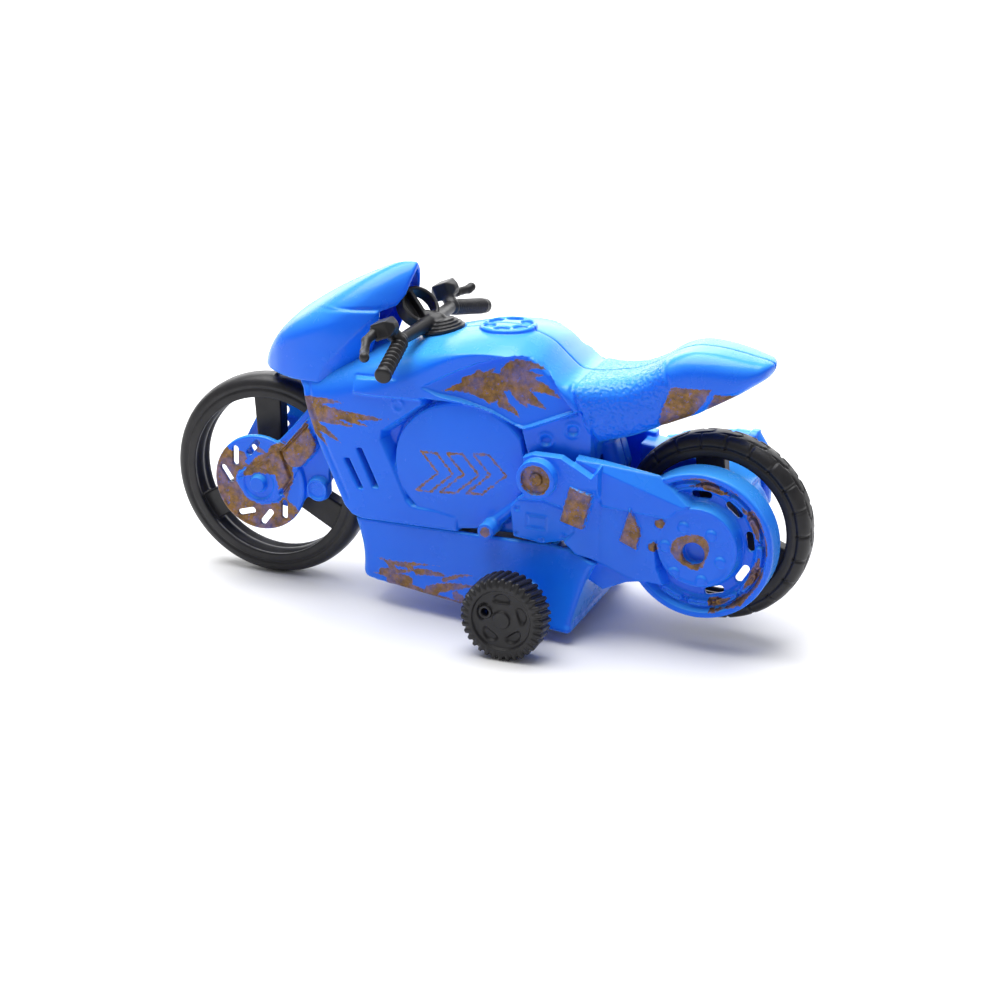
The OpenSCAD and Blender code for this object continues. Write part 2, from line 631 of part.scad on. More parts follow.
idler_phase = bearing(drive_axle_p, idler_p) + 180 + 180 / idler_t;
small_phase = bearing(idler_p, arbor_p);
module drive_pinion() {
    color(nylon) difference() {
        gear(drive_axle_p, pinion_t, drive_layer, bearing(drive_axle_p, idler_p));
        rod(drive_axle_p, axle_r, -big, big);
    }
}
module idler_gear() {
    color(nylon) difference() {
        union() {
            gear(idler_p, idler_t, drive_layer, idler_phase);
            gear(idler_p, pinion_t, [drive_layer[1] - 0.1, spring_layer[1]], small_phase);
        }
        rod(idler_p, idler_shaft_r + run_gap, -big, big);
    }
}
module spring_gear() {
    color(nylon) difference() {
        gear(arbor_p, spring_t, spring_layer, small_phase + 180 + 180 / spring_t);
        rod(arbor_p, arbor_r, -big, big);
    }
}
module spring_arbor() {
    color(steel) {
        rod(arbor_p, arbor_r, drum_layer[0] - 0.3, spring_layer[1]);
        rod(arbor_p, axle_r, -case_half_w - 0.4, case_half_w + 0.4);
    }
}
// A relaxed spiral, whose outer end is held by the case.
spring_in_r = 1.9;
spring_out_r = 6.9;
spring_strip = 0.28;
spring_tail = motor_side[1][0] - case_wall - arbor_p[0] - spring_out_r - 0.05;
function spiral(r_add) = [
    for (k = [0:20 * spring_turns])
        let (a = k * 18, r = spring_in_r + (spring_out_r - spring_in_r) * k / (20 * spring_turns) + r_add)
        [r * cos(a), r * sin(a)]
];
module mainspring() {
    inner = spiral(0);
    outer = spiral(spring_strip);
    // the outer end reaches the case wall
    tail_x = spring_out_r + spring_tail;
    tail = [[spring_out_r, spring_strip], [tail_x, spring_strip], [tail_x, 0]];
    color(steel) translate([arbor_p[0], 0, arbor_p[1]]) slab(drum_layer[0], drum_layer[1])
        polygon(concat(inner, tail, [for (i = [len(outer) - 1:-1:0]) outer[i]]));
}

left_body_shell();
right_body_shell();
belly_pan();
nose_cowl();
handlebar();
left_fork_leg();
right_fork_leg();
left_swing_arm();
right_swing_arm();
silencer();
front_axle();
rear_axle();
body_screws();
belly_screws();
motor_case_left();
motor_case_right();
idler_shaft();
mainspring();
front_wheel();
rear_wheel();
drive_axle();
left_drive_wheel();
right_drive_wheel();
drive_pinion();
idler_gear();
spring_gear();
spring_arbor();
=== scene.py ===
"""Looks of the pull-back toy motorcycle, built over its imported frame.

Moulded pieces are drawn as signed distances in millimetres on a grid of points, then turned into meshes.
Every material is procedural. Axles, screws and the motor keep the shapes of the frame.
"""
import json
import math

import bpy
import numpy as np
import openvdb
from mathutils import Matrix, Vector


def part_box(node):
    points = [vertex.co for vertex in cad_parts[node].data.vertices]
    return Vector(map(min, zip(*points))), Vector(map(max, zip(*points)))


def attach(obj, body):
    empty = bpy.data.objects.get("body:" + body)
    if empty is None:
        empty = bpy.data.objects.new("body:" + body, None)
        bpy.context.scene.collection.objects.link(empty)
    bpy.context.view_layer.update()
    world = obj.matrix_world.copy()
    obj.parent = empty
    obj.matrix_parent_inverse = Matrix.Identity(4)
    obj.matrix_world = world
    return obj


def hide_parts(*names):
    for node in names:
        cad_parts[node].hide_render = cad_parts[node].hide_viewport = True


MM = 0.001
FAR = 9.0  # stands for a distance too great to matter

# ---------- camera ----------
CAMERA_AZIMUTH = math.radians(201)
CAMERA_ELEVATION = math.radians(20)
CAMERA_DISTANCE = 0.45
CAMERA_LENS = 87.5
SENSOR_WIDTH = 36
CAMERA_TARGET = Vector((-3.44, 0, 19.78)) * MM


def add_camera():
    """The photo's camera, which looks at CAMERA_TARGET."""
    data = bpy.data.cameras.new("camera")
    data.sensor_width = SENSOR_WIDTH
    data.lens = CAMERA_LENS
    data.clip_start = 0.01
    data.clip_end = 10
    camera = bpy.data.objects.new("camera", data)
    back = Vector((
        math.sin(CAMERA_AZIMUTH) * math.cos(CAMERA_ELEVATION),
        -math.cos(CAMERA_AZIMUTH) * math.cos(CAMERA_ELEVATION),
        math.sin(CAMERA_ELEVATION),
    ))
    camera.location = CAMERA_TARGET + back * CAMERA_DISTANCE
    camera.rotation_mode = "QUATERNION"
    camera.rotation_quaternion = (-back).to_track_quat("-Z", "Y")
    bpy.context.scene.collection.objects.link(camera)
    bpy.context.scene.camera = camera


add_camera()
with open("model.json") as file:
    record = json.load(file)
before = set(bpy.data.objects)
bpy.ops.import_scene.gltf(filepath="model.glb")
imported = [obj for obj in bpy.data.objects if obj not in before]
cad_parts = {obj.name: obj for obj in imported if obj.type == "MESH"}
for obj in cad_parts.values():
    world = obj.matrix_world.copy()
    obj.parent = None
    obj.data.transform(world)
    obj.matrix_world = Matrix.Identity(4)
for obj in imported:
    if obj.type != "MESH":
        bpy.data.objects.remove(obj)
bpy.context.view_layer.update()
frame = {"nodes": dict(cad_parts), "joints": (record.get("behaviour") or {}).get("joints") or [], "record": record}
nodes = frame["nodes"]
record = frame["record"]
SLOT_OF = {part["node"]: part["material_slot"] for part in record["subparts"]}
BODY_OF = {node: body for body, members in record["behaviour"]["bodies"].items() for node in members}


# ---------- places from the frame, in millimetres ----------
def joint_place(name):
    """X and Z of a joint's axis."""
    found = next(j for j in frame["joints"] if j["name"] == name)
    return found["pos_m"][0] / MM, found["pos_m"][2] / MM


def box_mm(node):
    """A node's low and high corners."""
    low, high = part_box(node)
    return np.array(low) / MM, np.array(high) / MM


def radius_mm(node):
    """Radius of a wheel or an axle that lies along Y."""
    low, high = box_mm(node)
    return (high - low)[2] / 2


FRONT = joint_place("front_wheel_spin")
REAR = joint_place("rear_wheel_spin")
DRIVE = joint_place("drive_spin")
FRONT_R = radius_mm("front_wheel")
REAR_R = radius_mm("rear_wheel")
DRIVE_R = radius_mm("left_drive_wheel")
AXLE_R = radius_mm("front_axle")
TYRE_HALF = box_mm("front_wheel")[1][1]
TRACK_IN, TRACK_Y = box_mm("left_drive_wheel")[0][1], box_mm("left_drive_wheel")[1][1]
BODY_LOW, BODY_HIGH = box_mm("left_body_shell")
BELLY_LOW, BELLY_HIGH = box_mm("belly_pan")
COWL_LOW, COWL_HIGH = box_mm("nose_cowl")
GRIP_Y = box_mm("handlebar")[1][1]


# ---------- curves and distances ----------
def smooth_curve(knots):
    """A function that runs smoothly through (position, value) knots and stays level outside them."""
    at, value = np.array(sorted(knots), float).T
    slope = np.gradient(value, at)

    def curve(t):
        t = np.clip(t, at[0], at[-1])
        i = np.clip(np.searchsorted(at, t, side="right") - 1, 0, len(at) - 2)
        h = at[i + 1] - at[i]
        s = (t - at[i]) / h
        r = 1 - s
        ends = value[i] * (1 + 2 * s) * r * r + value[i + 1] * s * s * (3 - 2 * s)
        return ends + h * s * r * (slope[i] * r - slope[i + 1] * s)

    return curve


def polygon(x, z, points):
    """Signed distance to a polygon, negative inside."""
    best = np.full(np.broadcast(x, z).shape, 1e9)
    inside = np.zeros(best.shape, bool)
    for (ax, az), (bx, bz) in zip(points, points[1:] + points[:1]):
        ex, ez = bx - ax, bz - az
        px, pz = x - ax, z - az
        t = np.clip((px * ex + pz * ez) / (ex * ex + ez * ez), 0, 1)
        best = np.minimum(best, (px - t * ex) ** 2 + (pz - t * ez) ** 2)
        if ez:
            inside ^= ((az > z) != (bz > z)) & (px < ex * pz / ez)
    return np.where(inside, -1, 1) * np.sqrt(best)


def path(x, z, points, widths):
    """Distance to a line through points whose half width runs through widths, negative inside."""
    best = np.full(np.broadcast(x, z).shape, 1e9)
    for k in range(len(points) - 1):
        (ax, az), (bx, bz) = points[k], points[k + 1]
        ex, ez = bx - ax, bz - az
        px, pz = x - ax, z - az
        t = np.clip((px * ex + pz * ez) / (ex * ex + ez * ez), 0, 1)
        away = np.hypot(px - t * ex, pz - t * ez)
        best = np.minimum(best, away - widths[k] * (1 - t) - widths[k + 1] * t)
    return best


def tongue(x, z, start, end, bulge, width):
    """A flame tongue: a curved line that narrows to a point at its end."""
    steps = 7
    (ax, az), (bx, bz) = start, end
    mid_x = (ax + bx) / 2 - (bz - az) * bulge
    mid_z = (az + bz) / 2 + (bx - ax) * bulge
    points = []
    widths = []
    for k in range(steps):
        t = k / (steps - 1)
        r = 1 - t
        on_x = r * r * ax + 2 * r * t * mid_x + t * t * bx
        on_z = r * r * az + 2 * r * t * mid_z + t * t * bz
        points.append((on_x, on_z))
        widths.append(width * (1 - t ** 1.5))
    return path(x, z, points, widths)


def flames(x, z, tongues):
    """Distance to the nearest of several tongues."""
    best = tongue(x, z, *tongues[0])
    for each in tongues[1:]:
        best = np.minimum(best, tongue(x, z, *each))
    return best


def disc(x, z, centre, radius):
    """Distance to a circle's edge in the side view, negative inside."""
    return np.hypot(x - centre[0], z - centre[1]) - radius


def ring_place(centre, radius, angle):
    """A place on a circle."""
    return centre[0] + radius * math.cos(angle), centre[1] + radius * math.sin(angle)


def slot(x, z, middle, turn, half_length, radius):
    """Distance to a short slot that lies at the angle turn, negative inside."""
    ex, ez = half_length * math.cos(turn), half_length * math.sin(turn)
    ends = [(middle[0] - ex, middle[1] - ez), (middle[0] + ex, middle[1] + ez)]
    return path(x, z, ends, [radius, radius])


def cylinder(x, y, z, centre, radius, y0, y1):
    """Distance to a cylinder along Y at centre = (x, z), negative inside."""
    return np.maximum(disc(x, z, centre, radius), np.abs(y - (y0 + y1) / 2) - (y1 - y0) / 2)


def capsule(x, y, z, a, b, ra, rb=None):
    """Distance to a round bar from a to b whose radius goes from ra to rb."""
    rb = ra if rb is None else rb
    ex, ey, ez = b[0] - a[0], b[1] - a[1], b[2] - a[2]
    px, py, pz = x - a[0], y - a[1], z - a[2]
    t = np.clip((px * ex + py * ey + pz * ez) / (ex * ex + ey * ey + ez * ez), 0, 1)
    return np.sqrt((px - t * ex) ** 2 + (py - t * ey) ** 2 + (pz - t * ez) ** 2) - ra - (rb - ra) * t


def rounded_box(x, y, z, centre, half, r):
    """Distance to a box with rounded edges."""
    qx = np.abs(x - centre[0]) - half[0] + r
    qy = np.abs(y - centre[1]) - half[1] + r
    qz = np.abs(z - centre[2]) - half[2] + r
    out = np.sqrt(np.maximum(qx, 0) ** 2 + np.maximum(qy, 0) ** 2 + np.maximum(qz, 0) ** 2)
    return out + np.minimum(np.maximum(np.maximum(qx, qy), qz), 0) - r


def both(a, b, k=0.3):
    """Where a and b overlap, with the edge rounded by about k."""
    h = np.maximum(k - np.abs(a - b), 0) / k
    return np.maximum(a, b) + h * h * k * 0.25


def join(a, b, k=0.3):
    """a and b together, with a fillet of about k."""
    return -both(-a, -b, k)


def cut(a, b, k=0.3):
    """a without b."""
    return both(a, -b, k)


def within(distance, edge=0.5):
    """1 inside an outline and 0 outside, with a smooth slope of the given width."""
    t = np.clip(0.5 - distance / edge, 0, 1)
    return t * t * (3 - 2 * t)


def ridge(distance, half_width):
    """1 on a line and 0 away from it."""
    return np.exp(-((distance / half_width) ** 2))


def mix(a, b, share):
    """a where share is 0, b where it is 1."""
    return a + (b - a) * share


# ---------- grids and meshes ----------
class Grid:
    """Sample points in millimetres between two corners."""

    def __init__(self, low, high, step):
        self.low = [float(v) for v in low]
        self.step = step
        axes = [np.arange(int((b - a) / step) + 2) * step + a for a, b in zip(low, high)]
        self.x = axes[0].astype(np.float32)[:, None, None]
        self.y = axes[1].astype(np.float32)[None, :, None]
        self.z = axes[2].astype(np.float32)[None, None, :]
        self.shape = tuple(len(a) for a in axes)


def from_surface(y, w, step):
    """Distance to the surface y = w, a sheet of heights over X and Z whose steepest walls are limited."""
    gx, gz = np.gradient(w[:, 0, :], step)
    slope = np.sqrt(1 + np.minimum(gx * gx + gz * gz, 9))[:, None, :]
    return (y - w) / slope


def make_mesh(name, points, faces):
    """A smooth mesh from points in millimetres and four-cornered faces."""
    mesh = bpy.data.meshes.new(name)
    mesh.vertices.add(len(points))
    mesh.vertices.foreach_set("co", (points * MM).astype(np.float32).ravel())
    mesh.loops.add(faces.size)
    mesh.loops.foreach_set("vertex_index", faces.astype(np.int32).ravel())
    mesh.polygons.add(len(faces))
    mesh.polygons.foreach_set("loop_start", np.arange(len(faces), dtype=np.int32) * 4)
    mesh.update(calc_edges=True)
    mesh.validate()
    mesh.shade_smooth()
    return mesh


def skin(grid, field):
    """Points and four-cornered faces, pointing outwards, of the surface where field is zero."""
    limit = 3 * grid.step
    dense = np.clip(np.broadcast_to(field, grid.shape), -limit, limit).astype(np.float32)
    for face in (np.s_[0], np.s_[-1], np.s_[:, 0], np.s_[:, -1], np.s_[:, :, 0], np.s_[:, :, -1]):
        dense[face] = np.maximum(dense[face], grid.step)
    volume = openvdb.FloatGrid(limit)
    volume.copyFromArray(np.ascontiguousarray(dense))
    points, quads = volume.convertToQuads(0.0)
    points = points * grid.step + np.array(grid.low)
    return points, quads


def add_piece(name, node, surface, marks=None):
    """An object that stands for a node. Blue ones keep their marks, print and grain, on their points."""
    points, faces = surface
    mesh = make_mesh(name, points, faces)
    material_slot = SLOT_OF[node]
    if material_slot == "blue_plastic":
        unmarked = {"print": np.full(len(points), FAR), "grain": np.zeros(len(points))}
        for label, values in {**unmarked, **(marks or {})}.items():
            attribute = mesh.attributes.new(label, "FLOAT", "POINT")
            attribute.data.foreach_set("value", np.asarray(values, np.float32))
    mesh.materials.append(MATERIALS[material_slot])
    piece = bpy.data.objects.new(name, mesh)
    bpy.context.scene.collection.objects.link(piece)
    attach(piece, BODY_OF[node])
    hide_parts(node)


def flipped(surface):
    """The same skin on the other side of the toy."""
    points, faces = surface
    return points * np.array([1, -1, 1]), faces[:, ::-1]


# ---------- materials ----------
BLUE = (0.006, 0.155, 0.92, 1)
BLUE_DEEP = (0.005, 0.128, 0.84, 1)
# pale blue of the painted highlight on upper faces and of the painted sheen at low angles
BLUE_PAINTED_LIGHT = (0.07, 0.44, 0.95, 1)
BRONZE = (0.32, 0.165, 0.045, 1)
BRONZE_WORN = (0.11, 0.065, 0.032, 1)


class Nodes:
    """Short names for building a material's node tree."""

    def __init__(self, name):
        self.material = bpy.data.materials.new(name)
        self.material.use_nodes = True
        self.tree = self.material.node_tree
        self.shader = self.tree.nodes["Principled BSDF"]

    def add(self, kind, **settings):
        node = self.tree.nodes.new(kind)
        for key, value in settings.items():
            setattr(node, key, value)
        return node

    def link(self, a, b):
        self.tree.links.new(a, b)

    def shade(self, label, value):
        """Gives one of the shader's inputs a number, a tuple of them or another node's output."""
        socket = self.shader.inputs[label]
        if isinstance(value, (int, float, tuple)):
            socket.default_value = value
        else:
            self.link(value, socket)

    def place(self):
        """Object coordinates, so that a texture keeps its scale in metres."""
        return self.add("ShaderNodeTexCoord").outputs["Object"]

    def noise(self, scale, detail=3, roughness=0.5):
        node = self.add("ShaderNodeTexNoise")
        node.inputs["Scale"].default_value = scale
        node.inputs["Detail"].default_value = detail
        node.inputs["Roughness"].default_value = roughness
        self.link(self.place(), node.inputs["Vector"])
        return node.outputs["Fac"]

    def mark(self, label):
        return self.add("ShaderNodeAttribute", attribute_name=label).outputs["Fac"]

    def math(self, operation, a, b=None, clamp=False):
        node = self.add("ShaderNodeMath", operation=operation, use_clamp=clamp)
        for socket, value in zip(node.inputs, (a, b)):
            if isinstance(value, (int, float)):
                socket.default_value = value
            elif value is not None:
                self.link(value, socket)
        return node.outputs[0]

    def span(self, value, low, high, to_low=0, to_high=1):
        """Maps value from low..high to to_low..to_high and holds it there."""
        node = self.add("ShaderNodeMapRange")
        for socket, number in zip(list(node.inputs)[1:5], (low, high, to_low, to_high)):
            socket.default_value = number
        self.link(value, node.inputs["Value"])
        return node.outputs["Result"]

    def blend(self, share, a, b):
        node = self.add("ShaderNodeMix", data_type="RGBA")
        self.link(share, node.inputs["Factor"])
        for socket, colour in ((node.inputs[6], a), (node.inputs[7], b)):
            if isinstance(colour, tuple):
                socket.default_value = colour
            else:
                self.link(colour, socket)
        return node.outputs[2]

    def bump(self, height, strength, distance, normal=None):
        node = self.add("ShaderNodeBump")
        node.inputs["Strength"].default_value = strength
        node.inputs["Distance"].default_value = distance
        self.link(height, node.inputs["Height"])
        if normal is not None:
            self.link(normal, node.inputs["Normal"])
        return node.outputs["Normal"]


def blue_plastic():
    """Glossy plastic. Mark "print" is the distance to the bronze print, "grain" the seat's texture."""
    n = Nodes("blue_plastic")
    colour = n.blend(n.span(n.noise(45, 4), 0.3, 0.7), BLUE, BLUE_DEEP)
    # painted light: upper faces are blended towards a pale blue as a painted highlight from the light above, and
    # faces seen at a low angle get a painted sheen of the same pale blue
    facing = n.add("ShaderNodeLayerWeight").outputs["Facing"]
    upward = n.add("ShaderNodeSeparateXYZ")
    n.link(n.add("ShaderNodeNewGeometry").outputs["Normal"], upward.inputs[0])
    painted_grazing_sheen = n.span(facing, 0.4, 0.95, 0, 0.5)
    painted_top_light = n.span(upward.outputs["Z"], 0.25, 0.95, 0, 0.75)
    colour = n.blend(n.math("MAXIMUM", painted_grazing_sheen, painted_top_light), colour, BLUE_PAINTED_LIGHT)

    # rubbed print: ragged at its edge, scratched and thin in places
    edge = n.span(n.noise(1500, 5, 0.7), 0.2, 0.8, -0.38, 0.38)
    printed = n.span(n.math("ADD", n.mark("print"), edge), 0.08, -0.08)
    scratched = n.span(n.noise(1700, 6, 0.75), 0.59, 0.68, 1, 0.15)
    thin = n.span(n.noise(260, 4, 0.6), 0.45, 0.65, 1, 0.75)
    flecks = n.span(n.noise(2300, 5, 0.65), 0.745, 0.765)
    covered = n.math("MULTIPLY", n.math("MULTIPLY", printed, scratched), thin)
    bronze_share = n.math("MAXIMUM", covered, flecks, clamp=True)
    bronze = n.blend(n.span(n.noise(800, 6, 0.7), 0.35, 0.65), BRONZE, BRONZE_WORN)
    n.shade("Base Color", n.blend(bronze_share, colour, bronze))

    smear = n.span(n.noise(160, 5, 0.6), 0.3, 0.75, 0.2, 0.32)
    n.shade("Roughness", n.math("ADD", smear, n.math("MULTIPLY", bronze_share, 0.2)))
    n.shade("Metallic", n.math("MULTIPLY", bronze_share, 0.3))
    n.shade("Subsurface Weight", 0.12)
    n.shade("Subsurface Radius", (0.0004, 0.0008, 0.003))
    n.shade("Subsurface Scale", 1)
    n.shade("IOR", 1.45)
    n.shade("Specular IOR Level", 0.38)

    pebbles = n.add("ShaderNodeTexVoronoi", feature="SMOOTH_F1")
    pebbles.inputs["Scale"].default_value = 1700
    n.link(n.place(), pebbles.inputs["Vector"])
    grain = n.math("MULTIPLY", pebbles.outputs["Distance"], n.mark("grain"))
    waves = n.bump(n.noise(120, 2), 0.15, 0.0002)
    scratches = n.bump(n.noise(2600, 4, 0.7), 0.1, 0.00002, waves)
    n.shade("Normal", n.bump(grain, 1.0, 0.0003, scratches))
    return n.material


def clouded(name, tints, tint_noise, tint_span, rough, rough_noise, relief, relief_noise):
    """A material with two clouded tints, uneven roughness and a fine relief = (strength, height).
    Each noise is its scale, detail and roughness.
    """
    n = Nodes(name)
    n.shade("Base Color", n.blend(n.span(n.noise(*tint_noise), *tint_span), *tints))
    n.shade("Roughness", n.span(n.noise(*rough_noise), 0.3, 0.7, *rough))
    n.shade("Normal", n.bump(n.noise(*relief_noise), *relief))
    return n


def black_plastic():
    """Satin black plastic with a fine moulded roughness."""
    n = clouded(
        "black_plastic",
        tints=((0.010, 0.010, 0.012, 1), (0.019, 0.018, 0.020, 1)), tint_noise=(260, 5, 0.6),
        tint_span=(0.3, 0.7), rough=(0.34, 0.5), rough_noise=(420, 5, 0.6),
        relief=(0.2, 0.00004), relief_noise=(3200, 4, 0.6),
    )
    n.shade("Specular IOR Level", 0.38)
    return n.material


def nylon():
    """Unpainted gear and case plastic."""
    n = clouded(
        "natural_plastic",
        tints=((0.80, 0.79, 0.72, 1), (0.70, 0.69, 0.62, 1)), tint_noise=(300, 4),
        tint_span=(0.3, 0.7), rough=(0.4, 0.55), rough_noise=(500, 4),
        relief=(0.15, 0.00004), relief_noise=(1800, 4),
    )
    n.shade("Subsurface Weight", 0.2)
    n.shade("Subsurface Radius", (0.001, 0.001, 0.0008))
    return n.material


def steel():
    """Bright drawn metal with a fine roughness."""
    n = clouded(
        "steel",
        tints=((0.62, 0.62, 0.64, 1), (0.42, 0.42, 0.44, 1)), tint_noise=(800, 5, 0.7),
        tint_span=(0.35, 0.7), rough=(0.25, 0.42), rough_noise=(600, 4),
        relief=(0.2, 0.00002), relief_noise=(4000, 3),
    )
    n.shade("Metallic", 1)
    return n.material


def floor_paper():
    """Pale sweep with a slight sheen."""
    n = clouded(
        "floor",
        tints=((0.80, 0.80, 0.805, 1), (0.77, 0.77, 0.775, 1)), tint_noise=(14, 3),
        tint_span=(0.3, 0.7), rough=(0.52, 0.56), rough_noise=(40, 3),
        relief=(0.05, 0.00005), relief_noise=(900, 3),
    )
    n.shade("Specular IOR Level", 0.25)
    return n.material


MATERIALS = {
    "blue_plastic": blue_plastic(),
    "black_plastic": black_plastic(),
    "natural_plastic": nylon(),
    "steel": steel(),
}
FLOOR = floor_paper()


# ---------- body halves ----------
WALL = 1.7
ENGINE = (-0.5, 30.0)
TANK_OUT = 0.1
FAIRING_IN = 0.6
TANK_TIP = (20.5, 44.5)
TANK_TIP_END = 12.4
BAY_DEPTH = 3.2
KNEE_DEPTH = 2.3
CAP = (-4.9, 0)
CAP_R = 5.2
FOOT = (7.8, 51.4)
FOOT_R = 4.0
FOOT_SLOPE = 0.2
seam_z = smooth_curve([
    (-55.6, 51.8), (-52, 52.5), (-48, 53.3), (-44, 53.8), (-40, 53.6), (-37, 52.5), (-33.5, 50.2),
    (-30, 48.6), (-26, 47.7), (-22, 47.2), (-19, 47.4), (-16.5, 49.4), (-14, 51.6), (-11, 53.0),
    (-8, 53.5), (-4, 53.5), (0, 53.1), (4, 52.4), (8, 51.5), (14, 50.2), (20, 48.6), (26, 46.8),
    (34, 44.5),
])
crown = smooth_curve([
    (-52, 0.012), (-44, 0.006), (-38, 0.001), (-24, 0.001), (-19, 0.006), (-14, 0.010), (-4, 0.011),
    (4, 0.013), (10, 0.018), (20, 0.026),
])
half_width = smooth_curve([
    (-55.8, 0.6), (-55.2, 2.0), (-54, 3.9), (-52, 5.4), (-49, 6.8), (-45, 7.7), (-41, 8.3), (-36, 8.7),
    (-31, 9.0), (-27, 9.4), (-22, 10.6), (-14, 12.2), (-2, 12.9), (14, 12.9), (20, 12.8), (26, 12.3),
    (33, 10.8),
])
shoulder = smooth_curve([
    (-55, 1.6), (-50, 3.0), (-42, 4.2), (-24, 4.4), (-20, 2.4), (-15, 0.9), (0, 0.8), (6, 2.5), (14, 4.0),
])
ledge_z = smooth_curve([
    (-22, 42.3), (-12.2, 38.4), (-10.5, 38.9), (-6.2, 40.8), (-0.7, 41.9), (6.3, 41.9), (13, 41.7),
    (20.6, 41.6), (34, 42.0),
])
BODY_OUTLINE = [
    (33.4, 42.3), (31.7, 40.5), (30.6, 36.4), (28.5, 31.1), (25.7, 25.3), (23.0, 19.5), (21.4, 17.9),
    (19.4, 17.4), (-20.0, 17.4), (-26.0, 20.2), (-27.8, 30.0), (-26.0, 36.2), (-30.9, 37.7),
    (-36.3, 40.1), (-42.2, 42.7), (-49.2, 46.7), (-53.7, 49.5), (-55.2, 51.2), (-55.7, 52.6), (-50, 60),
    (30, 60), (36, 46),
]
BAY_OUTLINE = [
    (7.4, 42.6), (7.4, 41.0), (15.3, 35.2), (15.6, 33.5), (13.2, 28.4), (10.5, 22.1), (9.3, 21.1),
    (4.6, 20.9), (0.6, 20.2), (0.4, 14), (-34, 14), (-34, 36.5), (-24.8, 36.6), (-21.9, 42.6),
    (-12.2, 38.6), (-6.2, 41.2), (-0.7, 42.4),
]
PLATE_OUTLINE = [(-11.6, 38.0), (-21.8, 41.8), (-24.8, 36.6), (-24.0, 30.0), (-13.5, 30.0)]
KNEE_OUTLINE = [
    (7.0, 44.4), (2.0, 47.2), (-3.5, 49.8), (-7.5, 51.2), (-10.5, 51.7), (-13.2, 51.4), (-15.2, 50.0),
    (-17.2, 47.6), (-19.2, 44.9), (-21.3, 42.2), (-12.2, 38.6), (-10.5, 39.0), (-6.2, 41.0), (-0.7, 42.4),
    (4.0, 43.2),
]
SEAT_X = -22.5
SEAT_FRONT = [(-18.6, 50.0), (-20.1, 48.3), (-20.7, 45.6), (-22.2, 42.6), (-23.6, 39.6), (-24.9, 36.2)]
LAMP_OUTLINE = [
    (-37.9, 47.6), (-38.5, 48.2), (-45.2, 48.1), (-43.7, 44.9), (-40.8, 42.0), (-35.4, 39.2), (-36.3, 43.6),
]
LAMP_REAR_OUTLINE = [(-45.7, 47.3), (-49.6, 47.0), (-47.2, 45.3), (-43.4, 43.2)]
LAMP_CREASE = [(-36.2, 53.6), (-36.9, 50.2), (-38.1, 48.1), (-36.6, 43.6), (-36.2, 39.4)]
VENTS = [
    [(22.8, 28.8), (21.7, 28.9), (18.9, 23.4), (19.9, 23.3)],
    [(20.2, 31.1), (19.1, 31.2), (15.8, 24.0), (17.0, 23.9)],
]
PLATE_DIMPLES = [(-16.1, 36.5), (-20.8, 38.6)]
FAIRING_BOLT = (11.6, 40.2)
ENGINE_HALF = (13.1, 11.9)
FRONT_WELL = [(40, 10), (40, 37.5), (27.5, 40.5), (24, 34), (19.5, 24), (17.5, 10)]
FRONT_WELL_Y = 9.2
FRONT_TYRE_GAP = 1.4
REAR_TYRE_GAP = 1.2
MOTOR_MIDDLE = (-3, 0, 17.15)
MOTOR_HALF = (16, 7.2, 7.15)
ARM_POCKET = [(-21.9, 15), (-21.9, 34.5), (-33, 34.5), (-33, 15)]
ARM_POCKET_Y = 9.7
PEG = (-6.2, 19.4)
PEG_R = 1.55
PEG_Y = BODY_HIGH[1]
GRAIN_FRONT = [(-25.2, 36), (-23.9, 39.6), (-22.5, 42.6), (-21.0, 45.6), (-20.4, 48.3), (-18.9, 50)]
GRAIN_REAR = [(-36.0, 39), (-36.5, 43.6), (-37.9, 48.1), (-36.7, 50.2), (-35.8, 53.6)]


